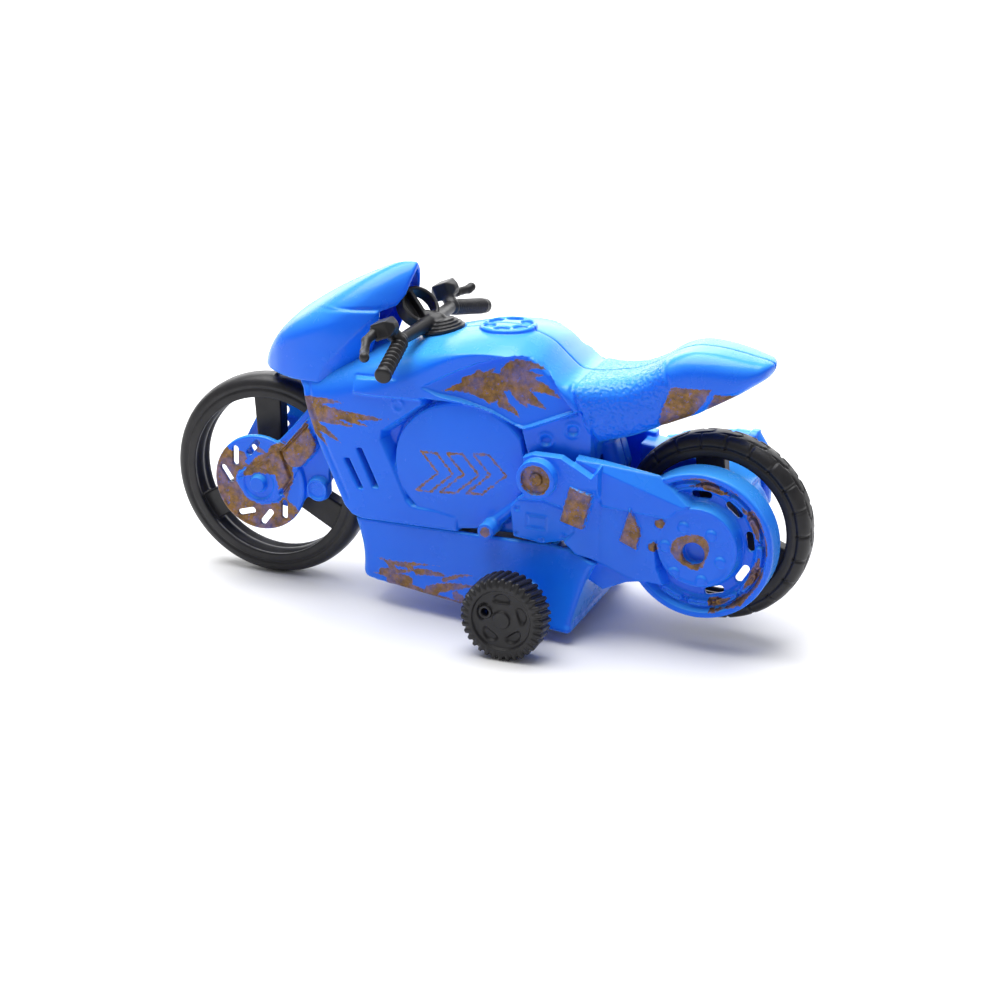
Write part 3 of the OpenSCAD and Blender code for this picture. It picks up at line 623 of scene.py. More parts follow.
def body_widths(x, z):
    """Half width of the outer surface of a body half at each point of the side view."""
    plan = half_width(x)
    low = np.where(x < SEAT_X, -9.0, ledge_z(x) - z)
    w = mix(plan + TANK_OUT, plan - FAIRING_IN, within(-low, 0.6))
    # the tank's side ends in front in a blunt tip with a narrow ledge along its top
    above = np.maximum(TANK_TIP[1] + 0.08 * (TANK_TIP[0] - x) - z, (TANK_TIP_END - x) * 0.3)
    w = mix(w, plan - FAIRING_IN, within(np.minimum(TANK_TIP[0] - x, above), 0.6))
    bay = polygon(x, z, BAY_OUTLINE)
    w = mix(w, plan - BAY_DEPTH, within(bay + 0.7, 1.4))
    plate = polygon(x, z, PLATE_OUTLINE)
    w = mix(w, plan - 1.1 + 0.02 * (z - 36), within(plate, 0.5))
    for dimple in PLATE_DIMPLES:
        away = disc(x, z, dimple, 0)
        w = w + 0.22 * ridge(away - 1.25, 0.32) - 0.45 * within(away - 0.85, 0.5)
    away = disc(x, z, FAIRING_BOLT, 0)
    w = w + 0.25 * ridge(away - 1.0, 0.3)
    # engine cover: a low dome with a groove round it
    cover = np.hypot((x - ENGINE[0]) / ENGINE_HALF[0], (z - ENGINE[1]) / ENGINE_HALF[1])
    near = (cover - 1) * 12.4
    clear_of_plate = np.maximum(near, -plate + 0.35)
    dome = plan - 1.0 + 0.75 * (1 - np.minimum(cover, 1) ** 2)
    w = mix(w, dome, within(np.maximum(clear_of_plate, bay + 0.1), 0.4))
    w = w - 0.35 * ridge(near - 0.4, 0.3) * within(bay + 0.3, 0.4) * within(-plate + 0.2, 0.4)
    # knee recess, deepest along its upper edge and running out towards its front tip
    knee = polygon(x, z, KNEE_OUTLINE)
    depth = KNEE_DEPTH * np.clip((7.5 - x) / 7, 0.25, 1)
    fall = np.clip((z - 38) / 14, 0, 1)
    w = mix(w, plan + TANK_OUT - depth * (0.4 + 0.6 * fall), within(knee + 0.1, 0.4))
    # fairing lip along the front edge
    w = w - 0.25 * ridge(polygon(x, z, BODY_OUTLINE) + 1.6, 0.35) * (x > 22)
    # seat and tail
    seat = within(path(x, z, SEAT_FRONT, [0.28] * len(SEAT_FRONT)), 0.3)
    w = w - 0.55 * seat
    lamp = np.minimum(polygon(x, z, LAMP_OUTLINE), polygon(x, z, LAMP_REAR_OUTLINE))
    w = w - 0.22 * within(lamp, 0.4)
    w = w - 0.2 * ridge(path(x, z, LAMP_CREASE, [0] * len(LAMP_CREASE)), 0.3) * (x > -38.7)
    # the tail's side leans in towards its lower edge
    low_edge = np.clip((seam_z(x) - 1.5 - z) / 12, 0, 1)
    return w - 1.7 * low_edge ** 2 * (x < -24)


def filler_cap(x, y, z, top_z):
    """Round cap on the tank with scoops in its top, half of it on each side of the seam."""
    away = np.hypot(x - CAP[0], y) - CAP_R
    cap_top = top_z + 0.55 + 0.2 * ridge(away + 0.6, 0.5)
    for k in range(6):
        angle = math.radians(30 + 60 * k)
        along = (x - CAP[0]) * math.cos(angle) + y * math.sin(angle)
        aside = y * math.cos(angle) - (x - CAP[0]) * math.sin(angle)
        scoop = np.hypot((along - 3.4) / 1.05, aside / 1.45) - 1
        cap_top = cap_top - 0.75 * within(scoop, 0.4)
    return both(away, z - cap_top, 0.3)


def body_skin():
    """Skin of the left body half."""
    grid = Grid((BODY_LOW[0] - 1, -0.5, BODY_LOW[2] - 1), (35, PEG_Y + 0.6, BODY_HIGH[2] + 0.8), 0.23)
    x, y, z = grid.x, grid.y, grid.z
    w = body_widths(x, z)
    side = from_surface(y, w, grid.step)
    top_z = seam_z(x) - crown(x) * y * y
    top = (z - top_z) * 0.93
    outline = polygon(x, z, BODY_OUTLINE)
    k = shoulder(x)
    outer = both(side, top, k)
    outer = both(outer, outline, np.where(x < -24, 2.4, 0.9))
    outer = join(outer, filler_cap(x, y, z, top_z), 0.15)
    # the halves meet with a fine groove between them
    outer = both(outer, 0.03 - y, 0.3)
    hollow = both(both(y - half_width(x) + WALL + BAY_DEPTH, z - top_z + WALL, 1.5), outline + WALL, 1.5)
    shell = cut(outer, hollow)
    well = np.minimum(
        cylinder(x, y, z, FRONT, FRONT_R + FRONT_TYRE_GAP, -1, 4.4),
        np.maximum(polygon(x, z, FRONT_WELL), y - FRONT_WELL_Y),
    )
    well = np.minimum(well, cylinder(x, y, z, REAR, REAR_R + REAR_TYRE_GAP, -1, 5.2))
    motor = rounded_box(x, y, z, MOTOR_MIDDLE, MOTOR_HALF, 0.4)
    shell = cut(cut(shell, well), motor)
    for vent in VENTS:
        shell = cut(shell, np.maximum(polygon(x, z, vent), 5 - y))
    # the beams of the swing arms lie in a pocket behind the engine
    shell = cut(shell, np.maximum(polygon(x, z, ARM_POCKET), ARM_POCKET_Y - y))
    peg = cylinder(x, y, z, PEG, PEG_R, 9, PEG_Y)
    peg = both(peg, y - PEG_Y + 0.05, 0.5)
    peg_arm = capsule(x, y, z, (-6.4, 11.6, 19.8), (-11.4, 11.2, 24.4), 1.15, 0.9)
    shell = join(shell, join(peg, peg_arm, 0.6), 0.4)
    # the seat of the handlebar's foot follows the slope of the tank
    seat = FOOT[1] - z - FOOT_SLOPE * (x - FOOT[0])
    shell = cut(shell, np.maximum(np.hypot(x - FOOT[0], y) - FOOT_R - 0.1, seat), 0.2)
    return skin(grid, shell)


KNEE_FLAMES = [
    ((-5.0, 45.3), (3.0, 44.0), 0.05, 1.5), ((-3.5, 45.6), (-15.5, 46.4), -0.08, 2.1),
    ((-1.2, 45.9), (-6.6, 48.9), 0.10, 1.0), ((-3.5, 47.4), (-9.6, 47.2), 0.20, 0.8),
    ((-9.0, 47.2), (-13.4, 49.9), -0.45, 1.9), ((-10.8, 49.3), (-15.6, 49.2), -0.25, 1.0),
    ((-11.8, 48.3), (-15.3, 48.3), 0.1, 0.7), ((-12.0, 46.8), (-18.6, 44.2), -0.10, 1.3),
    ((-11.0, 46.0), (-16.4, 42.1), 0.12, 1.3), ((-10.4, 45.4), (-13.2, 42.0), 0.10, 1.0),
    ((-6.6, 45.0), (-9.2, 41.2), -0.2, 1.2), ((-8.0, 42.6), (-11.3, 40.3), -0.2, 0.8),
    ((-1.5, 44.7), (-6.2, 42.0), -0.15, 0.8), ((-5.0, 43.6), (-8.8, 43.5), 0.1, 0.8),
]
FAIRING_FLAMES = [
    ((31.0, 37.6), (13.6, 37.4), 0.05, 1.3), ((31.0, 36.0), (20.4, 35.0), -0.06, 1.2),
    ((30.5, 34.6), (23.2, 31.6), -0.12, 1.0), ((30.8, 38.6), (22.4, 39.4), -0.06, 0.8),
    ((24.5, 37.6), (17.6, 35.6), 0.1, 0.7), ((29.8, 33.8), (26.2, 30.6), -0.1, 0.6),
]


def chevron(cx, cz, w, h, t):
    """Corners of a slanted arrowhead that points backwards."""
    lean, droop = 0.18, 0.05
    corners = [(0.5, 1), (0.05, 0), (0.5, -1), (0.5 - t, -1), (0.05 - t, 0), (0.5 - t, 1)]
    outline = []
    for u, v in corners:
        along = (u - 0.25) * w
        outline.append((cx + along - v * h * lean, cz + v * h - along * droop))
    return outline


ORNAMENT = [chevron(5.6 - 5 * k, 28.4 + 0.4 * k, 8.6, 3.8, 0.34) for k in range(3)]


def x_on_line(z, line):
    """X at height z of a line that rises through its places."""
    return np.interp(z, [place[1] for place in line], [place[0] for place in line])


def body_marks(points):
    """Distance to the print, and where the seat's grain is."""
    x, y, z = points.T
    side = np.maximum(flames(x, z, KNEE_FLAMES), polygon(x, z, KNEE_OUTLINE) + 0.3)
    side = np.minimum(side, np.maximum(flames(x, z, FAIRING_FLAMES), -polygon(x, z, BAY_OUTLINE) + 0.5))
    for outline in ORNAMENT:
        side = np.minimum(side, np.abs(polygon(x, z, outline)) - 0.2)
    lamp = np.minimum(polygon(x, z, LAMP_OUTLINE), polygon(x, z, LAMP_REAR_OUTLINE))
    side = np.minimum(side, lamp + 0.1)
    side = np.maximum(side, 4.2 - y)
    side = np.minimum(side, np.maximum(disc(x, z, PEG, 0.95), PEG_Y - 0.5 - y))
    behind_front = x - x_on_line(z, GRAIN_FRONT) + 0.5
    before_rear = x_on_line(z, GRAIN_REAR) - x + 0.4
    inside = -np.maximum(y - half_width(x) + 2.4, z - seam_z(x) + 1.4)
    grain = within(behind_front, 0.6) * within(before_rear, 0.6) * within(inside, 0.5)
    return {"print": side, "grain": grain}


def build_body():
    """Both body halves from one skin."""
    surface = body_skin()
    marks = body_marks(surface[0])
    add_piece("left_body", "left_body_shell", surface, marks)
    add_piece("right_body", "right_body_shell", flipped(surface), marks)


build_body()


# ---------- belly pan ----------
BELLY_TOP = 17.2
BELLY_FRONT = 21.4
BELLY_REAR = -26.2
BELLY_WALL = 1.2
FLOOR_SLOPE = 0.065
FLOOR_HALF_FRONT = 9.6
FLOOR_HALF_REAR = 16.6
REAR_CORNER = [(-18.6, 17.15), (-22.6, 16.3), (-28, 13.9), (-28, 22), (-18.6, 22)]
REAR_CORNER_Y = 9.4
SCREW_R = 1.95
BOSS_R = 2.7
FRONT_SCREW_Y = 8.2
BELLY_FLAMES = [
    ((10.0, 9.2), (18.6, 10.2), -0.05, 0.8), ((10.5, 6.2), (19.0, 6.4), 0.06, 1.3),
    ((13.5, 8.0), (17.0, 9.6), 0.3, 0.9), ((16.0, 7.2), (6.0, 9.6), 0.06, 0.9),
    ((12.5, 9.2), (3.0, 10.2), -0.06, 0.7), ((14.0, 5.6), (-5.5, 4.6), 0.10, 1.4),
    ((8.5, 8.4), (-1.0, 8.0), -0.10, 0.9), ((6.0, 5.2), (-6.5, 7.6), -0.12, 1.2),
    ((0.5, 5.4), (-7.2, 3.2), 0.10, 1.0), ((3.0, 7.8), (-5.0, 9.6), -0.14, 0.7),
]


def belly_floor(x):
    """Height of the flat, sloping underside."""
    return BELLY_LOW[2] + 0.2 + (x + 22.5) * FLOOR_SLOPE


def belly_width(x, z, d):
    """Half width of the belly, which flares downwards and to the rear."""
    down = np.clip((BELLY_TOP - z) / (BELLY_TOP - belly_floor(x)), 0, 1.1)
    spread = np.clip((20.5 - x) / 43, 0, 1)
    floor_y = FLOOR_HALF_FRONT + (FLOOR_HALF_REAR - FLOOR_HALF_FRONT) * spread ** 0.9
    top_y = 11.6 + 0.6 * spread
    return top_y + (floor_y - top_y) * down ** 1.25 - d


def belly_field(x, y, z, d):
    """The belly, made smaller all round by d."""
    w = belly_width(x, z, d)
    side = (np.abs(y) - w) * 0.9
    floor = belly_floor(x) + d - z
    down = np.clip((BELLY_TOP - z) / 14, 0, 1)
    front = x - (BELLY_FRONT - 1.1 * np.sin(math.pi * down) - d)
    rear_x = BELLY_REAR + 3.9 * np.clip((14.5 - z) / 12, 0, 1) ** 0.6
    rear_x = rear_x - 1.2 * np.clip((3.8 - z) / 2, 0, 1)
    rear = (rear_x + d - x) * 0.9
    body = both(side, floor, 0.8)
    body = both(body, front, 2.2)
    body = both(body, rear, 1.2)
    return both(body, z - 17.3, 0.4)


def build_belly():
    """Open tub with a boss for each of the four screws and bearings for the drive axle."""
    grid = Grid((BELLY_LOW[0] - 1, -18.2, BELLY_LOW[2] - 1), (BELLY_HIGH[0] + 1.5, 18.2, 18.2), 0.25)
    x, y, z = grid.x, grid.y, grid.z
    solid = belly_field(x, y, z, 0)
    shell = cut(solid, belly_field(x, y, z - 0.6, BELLY_WALL))
    shell = cut(shell, rounded_box(x, y, z, (-2.5, 0, 17), (20.5, 9.4, 2.2), 0.5))
    for side in (-1, 1):
        shell = join(shell, cylinder(x, y * side, z, DRIVE, 2.6, 11.6, 17.5), 0.5)
    # room for the swing arms over the rear corners
    shell = cut(shell, np.maximum(polygon(x, z, REAR_CORNER), REAR_CORNER_Y - np.abs(y)))
    shell = cut(shell, cylinder(x, y, z, DRIVE, AXLE_R + 0.06, -30, 30), 0.1)
    # bosses and seats for the four screws
    low, high = box_mm("belly_screws")
    for sx, sy in ((high[0] - SCREW_R, FRONT_SCREW_Y), (low[0] + SCREW_R, high[1] - SCREW_R)):
        away = np.hypot(x - sx, np.abs(y) - sy)
        seat = belly_floor(sx) + 1.7
        boss = np.maximum(np.maximum(away - BOSS_R, np.abs(z - 9.6) - 7.4), solid)
        shell = join(shell, boss, 0.3)
        shell = cut(shell, np.maximum(away - 2.1, z - seat), 0.15)
        shell = cut(shell, away - 1.3, 0.1)
    surface = skin(grid, shell)
    px, py, pz = surface[0].T
    stripe = flames(px, pz, BELLY_FLAMES) + 0.25
    outside = belly_width(px, pz, 0) - 0.5 - np.abs(py)
    add_piece("belly", "belly_pan", surface, {"print": np.maximum(stripe, outside * 2)})


# ---------- nose cowl ----------
nose_z = smooth_curve([
    (12.4, 64.3), (15.4, 63.7), (21.1, 61.4), (26.9, 58.5), (32.2, 55.3), (35.8, 52.7), (38.9, 49.6),
    (41.4, 46.0), (42.6, 43.8), (43.1, 42.2),
])
nose_plan = smooth_curve([
    (12, 3.6), (14, 5.6), (18, 8.6), (24, 10.6), (30, 10.0), (35, 8.4), (39, 6.2), (41.4, 4.0),
    (42.8, 2.0), (43.3, 0.3),
])
screen_width = smooth_curve([
    (42, 1.04), (48, 1.0), (54, 0.93), (58, 0.78), (61, 0.58), (63.2, 0.34), (64.6, 0.12),
])
COWL_OUTLINE = [
    (43.6, 42.2), (40.6, 41.9), (34.0, 41.8), (27.9, 42.2), (21.0, 42.5), (19.6, 45.5), (19.2, 48.6),
    (18.0, 52.0), (17.4, 55.6), (15.0, 56.5), (13.8, 58.2), (12.8, 61.8), (12.4, 65.5), (20, 68),
    (48, 60), (48, 42),
]
COWL_FACET = [(17.4, 55.9), (21.9, 51.0), (27.2, 45.3), (29.0, 41.0), (13, 41.0), (13, 56.4), (14.8, 56.5)]
COWL_WALL = 1.1
COWL_CREASE = [(14.6, 56.7), (17.7, 56.1), (23.4, 55.9), (29.4, 55.4), (32.6, 54.6)]


def cowl_field(x, y, z, d):
    """The cowl as a solid, made smaller all round by d."""
    w = nose_plan(x) * screen_width(z) - d
    # a flat facet that faces the rider, under the step at the foot of the screen
    facet = polygon(x, z, COWL_FACET)
    w = w - 0.8 * np.clip(-facet - 0.1, 0, 4.5)
    w = w - 0.2 * ridge(path(x, z, COWL_CREASE, [0] * len(COWL_CREASE)), 0.3)
    w = w - 0.3 * within(55.9 - z + 0.045 * (x - 23), 0.4)
    side = (np.abs(y) - w) * 0.82
    nose_top = nose_z(x) - 0.035 * y * y - d
    top = (z - nose_top) * 0.82
    return both(both(side, top, 2.2), x - 43.2 + d + 0.03 * y * y, 1.5)


def build_cowl():
    """Thin moulding with the screen, open below and behind."""
    low = (COWL_LOW[0] - 1, -11.6, COWL_LOW[2] - 1)
    high = (COWL_HIGH[0] + 1.2, 11.6, COWL_HIGH[2] + 1)
    grid = Grid(low, high, 0.2)
    x, y, z = grid.x, grid.y, grid.z
    outline = polygon(x, z, COWL_OUTLINE)
    solid = both(cowl_field(x, y, z, 0), outline, 0.5)
    shell = cut(solid, cowl_field(x, y, z, COWL_WALL), 0.3)
    add_piece("cowl", "nose_cowl", skin(grid, shell))


# ---------- handlebar ----------
GAUGE = (12.8, 0, 55.2)
GAUGE_R = 3.9
GAUGE_TILT = math.radians(45)
GAUGE_TURN = math.radians(30)
GRIP_IN = (11.0, 11.5, 52.4)
GRIP_OUT = (9.1, GRIP_Y - 1.25, 49.5)
BLOCK = (13.2, 14.2, 54.9)
BLOCK_TILT = math.radians(22)
BLOCK_HALF = (2.5, 2.1, 1.55)
FOOT_STEPS = ((FOOT_R - 0.5, 0.95), (FOOT_R - 1.2, 1.45), (FOOT_R - 1.9, 1.9))
LEVER_LINE = [(14.4, 15.4, 54.5), (14.9, 18.4, 53.6), (13.9, 21.4, 52.5), (12.6, GRIP_Y - 1.6, 52.5)]
LEVER_END = (12.3, GRIP_Y - 0.95, 52.8)


def gauge_ring(x, y, z):
    """Ring that looks back, up and a little to the left, with a bar across it and one half closed."""
    tilt_c, tilt_s = math.cos(GAUGE_TILT), math.sin(GAUGE_TILT)
    turn_c, turn_s = math.cos(GAUGE_TURN), math.sin(GAUGE_TURN)
    dx, dy, dz = x - GAUGE[0], y - GAUGE[1], z - GAUGE[2]
    ahead = dx * turn_c - dy * turn_s
    aside = dx * turn_s + dy * turn_c
    upward = ahead * tilt_c + dz * tilt_s
    depth = dz * tilt_c - ahead * tilt_s
    away = np.hypot(upward, aside)
    ring = both(both(away - GAUGE_R, GAUGE_R - 0.75 - away, 0.25), np.abs(depth) - 1.3, 0.3)
    face = away - GAUGE_R + 0.5
    across = both(np.abs(aside - 0.12 * upward) - 0.42, face, 0.1)
    across = both(across, np.abs(depth) - 1.0, 0.2)
    pan = both(both(face, -aside, 0.1), np.abs(depth + 0.8) - 0.3, 0.1)
    return join(join(ring, across, 0.2), pan, 0.1)


def grip(x, ay, z, left):
    """Ribbed grip from GRIP_IN to GRIP_OUT. The left one has coarse ribs and a knob."""
    run = np.array(GRIP_OUT) - np.array(GRIP_IN)
    length = float(np.linalg.norm(run))
    run = run / length
    px, py, pz = x - GRIP_IN[0], ay - GRIP_IN[1], z - GRIP_IN[2]
    along = px * run[0] + py * run[1] + pz * run[2]
    spread = np.sqrt(np.maximum(px ** 2 + py ** 2 + pz ** 2 - along ** 2, 0))
    coarse = 0.28 * np.cos(2 * math.pi * along / 1.4)
    fine = 0.12 * np.cos(2 * math.pi * along / 0.7)
    ribbed = within(np.abs(along - length / 2 + 0.5) - length / 2 + 1.2, 0.8)
    tube_r = np.where(left, 1.22 + coarse * ribbed, 1.42 + fine * ribbed)
    tube = both((spread - tube_r) * 0.8, np.abs(along - length / 2) - length / 2, 0.6)
    knob = both(spread - 1.55, np.abs(along - length + 0.6) - 0.7, 0.7)
    return join(tube, np.where(left, knob, FAR), 0.2)


def lever(x, ay, z):
    """Lever with its faceted bracket."""
    c, s = math.cos(BLOCK_TILT), math.sin(BLOCK_TILT)
    a = (x - BLOCK[0]) * c - (z - BLOCK[2]) * s
    b = (z - BLOCK[2]) * c + (x - BLOCK[0]) * s
    side = ay - BLOCK[1]
    block = rounded_box(a, side, b, (0, 0, 0), BLOCK_HALF, 0.25)
    block = both(block, (np.abs(a) + np.abs(b)) * 0.707 - 2.15, 0.2)
    block = both(block, (np.abs(a) + np.abs(side)) * 0.707 - 2.45, 0.2)
    block = join(block, capsule(x, ay, z, (11.3, 12.4, 52.8), (12.6, 13.6, 54.2), 1.3, 1.2), 0.4)
    bar = capsule(x, ay, z, LEVER_LINE[0], LEVER_LINE[1], 0.95, 0.82)
    for start, end in zip(LEVER_LINE[1:], LEVER_LINE[2:]):
        bar = join(bar, capsule(x, ay, z, start, end, 0.8), 0.4)
    ball = capsule(x, ay, z, LEVER_LINE[-1], LEVER_END, 0.88)
    return join(block, join(bar, ball, 0.3), 0.3)


def build_handlebar():
    """Foot, stem, gauge ring, crossbar, grips and levers in one moulding."""
    low, high = box_mm("handlebar")
    grid = Grid((3.0, -GRIP_Y - 0.4, low[2] - 0.8), (17.8, GRIP_Y + 0.4, high[2] + 0.8), 0.15)
    x, y, z = grid.x, grid.y, grid.z
    ay = np.abs(y)
    # stepped foot that follows the slope of the tank
    out = np.hypot(x - FOOT[0], y)
    up = z + FOOT_SLOPE * (x - FOOT[0]) - FOOT[1]
    bars = both(out - FOOT_R, np.abs(up - 0.4) - 0.35, 0.25)
    for radius, level in FOOT_STEPS:
        bars = join(bars, both(out - radius, np.abs(up - level) - 0.3, 0.25), 0.12)
    bars = join(bars, capsule(x, y, z, (8.8, 0, 52.8), (11.0, 0, 53.6), 1.8, 1.3), 0.5)
    bars = join(bars, gauge_ring(x, y, z), 0.3)
    bars = join(bars, capsule(x, ay, z, (9.9, 1.2, 53.0), (11.0, 11.3, 52.5), 1.35, 1.1), 0.5)
    bars = join(bars, grip(x, ay, z, y > 0), 0.3)
    bars = join(bars, lever(x, ay, z), 0.4)
    add_piece("bars", "handlebar", skin(grid, bars))


# ---------- fork ----------
FORK_IN = box_mm("left_fork_leg")[0][1] + 0.6
DISC_R = 9.4
DISC_FACE = 6.8
DISC_BACK = 5.9
DISC_SLOTS = [8, 44, 80, -64, -100, -136]
LEG_OUTLINE = [
    (44.6, 23.6), (39.2, 28.0), (36.0, 31.4), (33.1, 34.8), (30.5, 38.6), (27.5, 38.4), (26.4, 34.0),
    (28.6, 23.2), (28.6, 18.2), (30.2, 17.3), (33.0, 17.6), (36.0, 14.8), (41.0, 13.0), (47.0, 14.5),
    (49.5, 19.5),
]
LEG_BAND = [
    (47.4, 19.6), (47.0, 21.2), (41.0, 25.2), (37.4, 27.6), (30.2, 36.0), (28.4, 34.6), (34.2, 24.0),
    (36.8, 19.0), (39.0, 16.6), (42.4, 15.6), (45.4, 16.6),
]
LEG_CORE = [
    (41.4, 23.6), (42.6, 17.0), (36.2, 17.4), (33.5, 20.8), (29.6, 17.6), (27.4, 20.5), (26.5, 36.6),
    (29.2, 39.2), (33.4, 38.2), (38.4, 29.6),
]
CALIPER = [(32.3, 33.6), (30.1, 29.2), (30.9, 27.2), (33.6, 24.2), (35.7, 24.0), (37.4, 25.9), (37.9, 27.0)]
CALIPER_GROOVE = [(32.2, 32.6), (37.7, 26.6), (35.9, 21.3), (38.1, 18.4)]
RIGHT_LOBE = [
    (34.6, 32.6), (37.6, 33.4), (44.6, 31.8), (49.6, 28.4), (52.2, 23.6), (47.0, 17.5), (38.0, 20.0),
]
RIGHT_SLOT = [(44.9, 27.8), (43.1, 30.5)]
LEG_Y = 6.1
BAND_Y = 7.35
CALIPER_Y = 7.9
PAD = (30.5, 20.0)
PAD_Y = 7.2
CAP_Y = 8.2
SLOT_AWAY = 6.9
SLOT_TURN = 48
FORK_PLUG = (28.6, 36.0)
FORK_FLAMES = [
    ((39.4, 24.2), (46.2, 20.6), 0.15, 2.3), ((38.2, 25.6), (38.6, 19.0), -0.25, 2.6),
    ((36.6, 22.4), (37.2, 16.8), 0.1, 1.3), ((46.5, 24.4), (48.6, 21.5), 0.1, 1.2),
    ((43.6, 26.9), (41.2, 25.8), 0.1, 0.7),
]


def fork_height(x, z):
    """Outer face of a fork leg."""
    away = disc(x, z, FRONT, 0)
    w = mix(LEG_Y, DISC_FACE, within(away - DISC_R, 0.3))
    w = w + 0.18 * ridge(away - DISC_R + 0.5, 0.35)
    w = mix(w, BAND_Y, within(polygon(x, z, LEG_BAND), 0.4))
    w = mix(w, CALIPER_Y, within(polygon(x, z, CALIPER), 0.5))
    groove = path(x, z, CALIPER_GROOVE, [0.12] * 4)
    w = w - 0.75 * within(groove - 0.2, 0.4)
    inner_line = path(x, z, [(46.6, 20.6), (40.4, 24.8)], [0, 0])
    w = w - 0.3 * ridge(inner_line, 0.3)
    w = mix(w, PAD_Y, within(disc(x, z, PAD, 2.35), 0.3))
    w = w + 0.35 * ridge(disc(x, z, PAD, 1.9), 0.3)
    w = mix(w, DISC_FACE + 0.2, within(disc(x, z, FRONT, 3.1), 0.5))
    return mix(w, CAP_Y, within(disc(x, z, FRONT, 1.6), 0.5))


def fork_skin(right):
    """Skin of a fork leg, drawn on the left side. The right one has a lobe that reaches forwards."""
    grid = Grid((24.5, 3.6, 9.4), (54, 10.2, 40.5), 0.15)
    x, y, z = grid.x, grid.y, grid.z
    w = fork_height(x, z)
    outline = np.minimum(polygon(x, z, LEG_OUTLINE), disc(x, z, FRONT, DISC_R))
    if right:
        outline = np.minimum(outline, polygon(x, z, RIGHT_LOBE))
    back = mix(DISC_BACK, FORK_IN, within(polygon(x, z, LEG_CORE), 0.3))
    leg = both(both(from_surface(y, w, grid.step), back - y, 0.25), outline, 0.45)
    leg = join(leg, cylinder(x, y, z, FRONT, 3.0, 4.05, 6), 0.2)
    leg = join(leg, both(disc(x, z, FORK_PLUG, 2.3), np.abs(y - 7.6) - 1.5, 0.3), 0.3)
    for angle in DISC_SLOTS:
        middle = ring_place(FRONT, SLOT_AWAY, math.radians(angle))
        leg = cut(leg, slot(x, z, middle, math.radians(angle + SLOT_TURN), 1.3, 0.6), 0.25)
    if right:
        leg = cut(leg, path(x, z, RIGHT_SLOT, [0.75, 0.65]), 0.25)
    leg = cut(leg, cylinder(x, y, z, FRONT, AXLE_R, 0, 7.9), 0.05)
    return skin(grid, leg)


def build_fork():
    """Both fork legs, the left one with its print."""
    surface = fork_skin(False)
    x, y, z = surface[0].T
    away = disc(x, z, FRONT, 0)
    band = polygon(x, z, LEG_BAND)
    low_side = (z - FRONT[1]) * 0.8 - (x - FRONT[0]) * 0.6
    sheet = np.maximum(np.maximum(away - DISC_R + 0.15, low_side - 1.2), 0.3 - band)
    patch = np.minimum(sheet, polygon(x, z, CALIPER) + 0.1)
    patch = np.minimum(patch, flames(x, z, FORK_FLAMES))
    patch = np.maximum(patch, 2.0 - away)
    add_piece("left_fork", "left_fork_leg", surface, {"print": np.maximum(patch, 6.2 - y)})
    add_piece("right_fork", "right_fork_leg", flipped(fork_skin(True)))


# ---------- swing arms ----------
PIVOT = (-15.9, 30.6)
CASE = (REAR[0] + 0.4, REAR[1] - 0.6)
CASE_R = 13.5
CASE_IN = 5.2
CASE_Y = 10.8
CASE_RIM = 1.4
CASE_FLOOR = 9.2
HUB_R = 7.5
HUB_Y = 11.5
HUB_HOLE = (REAR[0] + 1.1, REAR[1] - 1.9)
ARM_Y = 12.4
PLATE_Y = 13.9
PLATE_IN = 12.0
ARM_PLATE = [
    (-12.6, 34.0), (-14.7, 34.9), (-20.0, 34.8), (-25.6, 31.6), (-27.0, 33.4), (-27.0, 24.0), (-26.4, 15.4),
    (-22.5, 16.5), (-20.4, 18.8), (-16.4, 17.7), (-10.7, 18.4), (-10.1, 24.3), (-11.5, 26.0), (-13.4, 27.4),
]
ARM_BEAM = [
    (-22, 34.4), (-27.0, 33.9), (-37.1, 32.4), (-43.3, 27.7), (-40.8, 26.7), (-39.0, 25.1), (-37.6, 22.8),
    (-36.9, 19.3), (-37.3, 15.6), (-38.8, 12.2), (-32.1, 12.8), (-25.6, 15.3), (-22, 16.7),
]
ARM_GUSSET = [
    (-23.0, 16.5), (-24.1, 11.2), (-27.0, 9.6), (-31.4, 11.6), (-36.0, 12.5), (-40, 9.0), (-42, 14),
    (-30, 18),
]
GEAR_COVER = [
    (-10.1, 24.3), (-11.5, 25.8), (-16.6, 26.2), (-21.6, 24.8), (-22.2, 21.0), (-20.4, 18.9), (-16.4, 17.8),
    (-10.7, 18.4),
]
ARM_PATCH = [(-21.8, 29.6), (-25.9, 28.3), (-24.2, 21.7), (-19.9, 22.9)]
BEAM_CREASE = ((-27.0, 32.5), (-42.7, 27.3))
BEAM_PANEL = ((-25.5, 26.2), (-39.9, 25.1))
BEAM_DOTS = [(-37.8, 24.0), (-36.6, 19.5)]
COVER_DIMPLES = [(-11.6, 24.0), (-11.4, 19.2), (-16.2, 18.6), (-20.4, 19.8), (-20.8, 23.6)]
COVER_FRAME = [(-13.6, 23.2), (-17.2, 23.0), (-17.0, 20.6), (-13.4, 20.8)]
ARM_PATCH_REAR = [(-32.4, 26.3), (-34.4, 22.4), (-33.7, 18.6), (-30.5, 20.0)]
CHAIN_LINKS = 13
CHAIN_R = 10.9
WINDOW_R = 9.0
WINDOWS = [math.radians(89 + 41 * k) for k in range(5)]


def above_line(x, z, line):
    """Distance above a line that runs backwards through two places, negative below it."""
    (ax, az), (bx, bz) = line
    return ((x - ax) * (bz - az) - (z - az) * (bx - ax)) / math.hypot(bx - ax, bz - az)


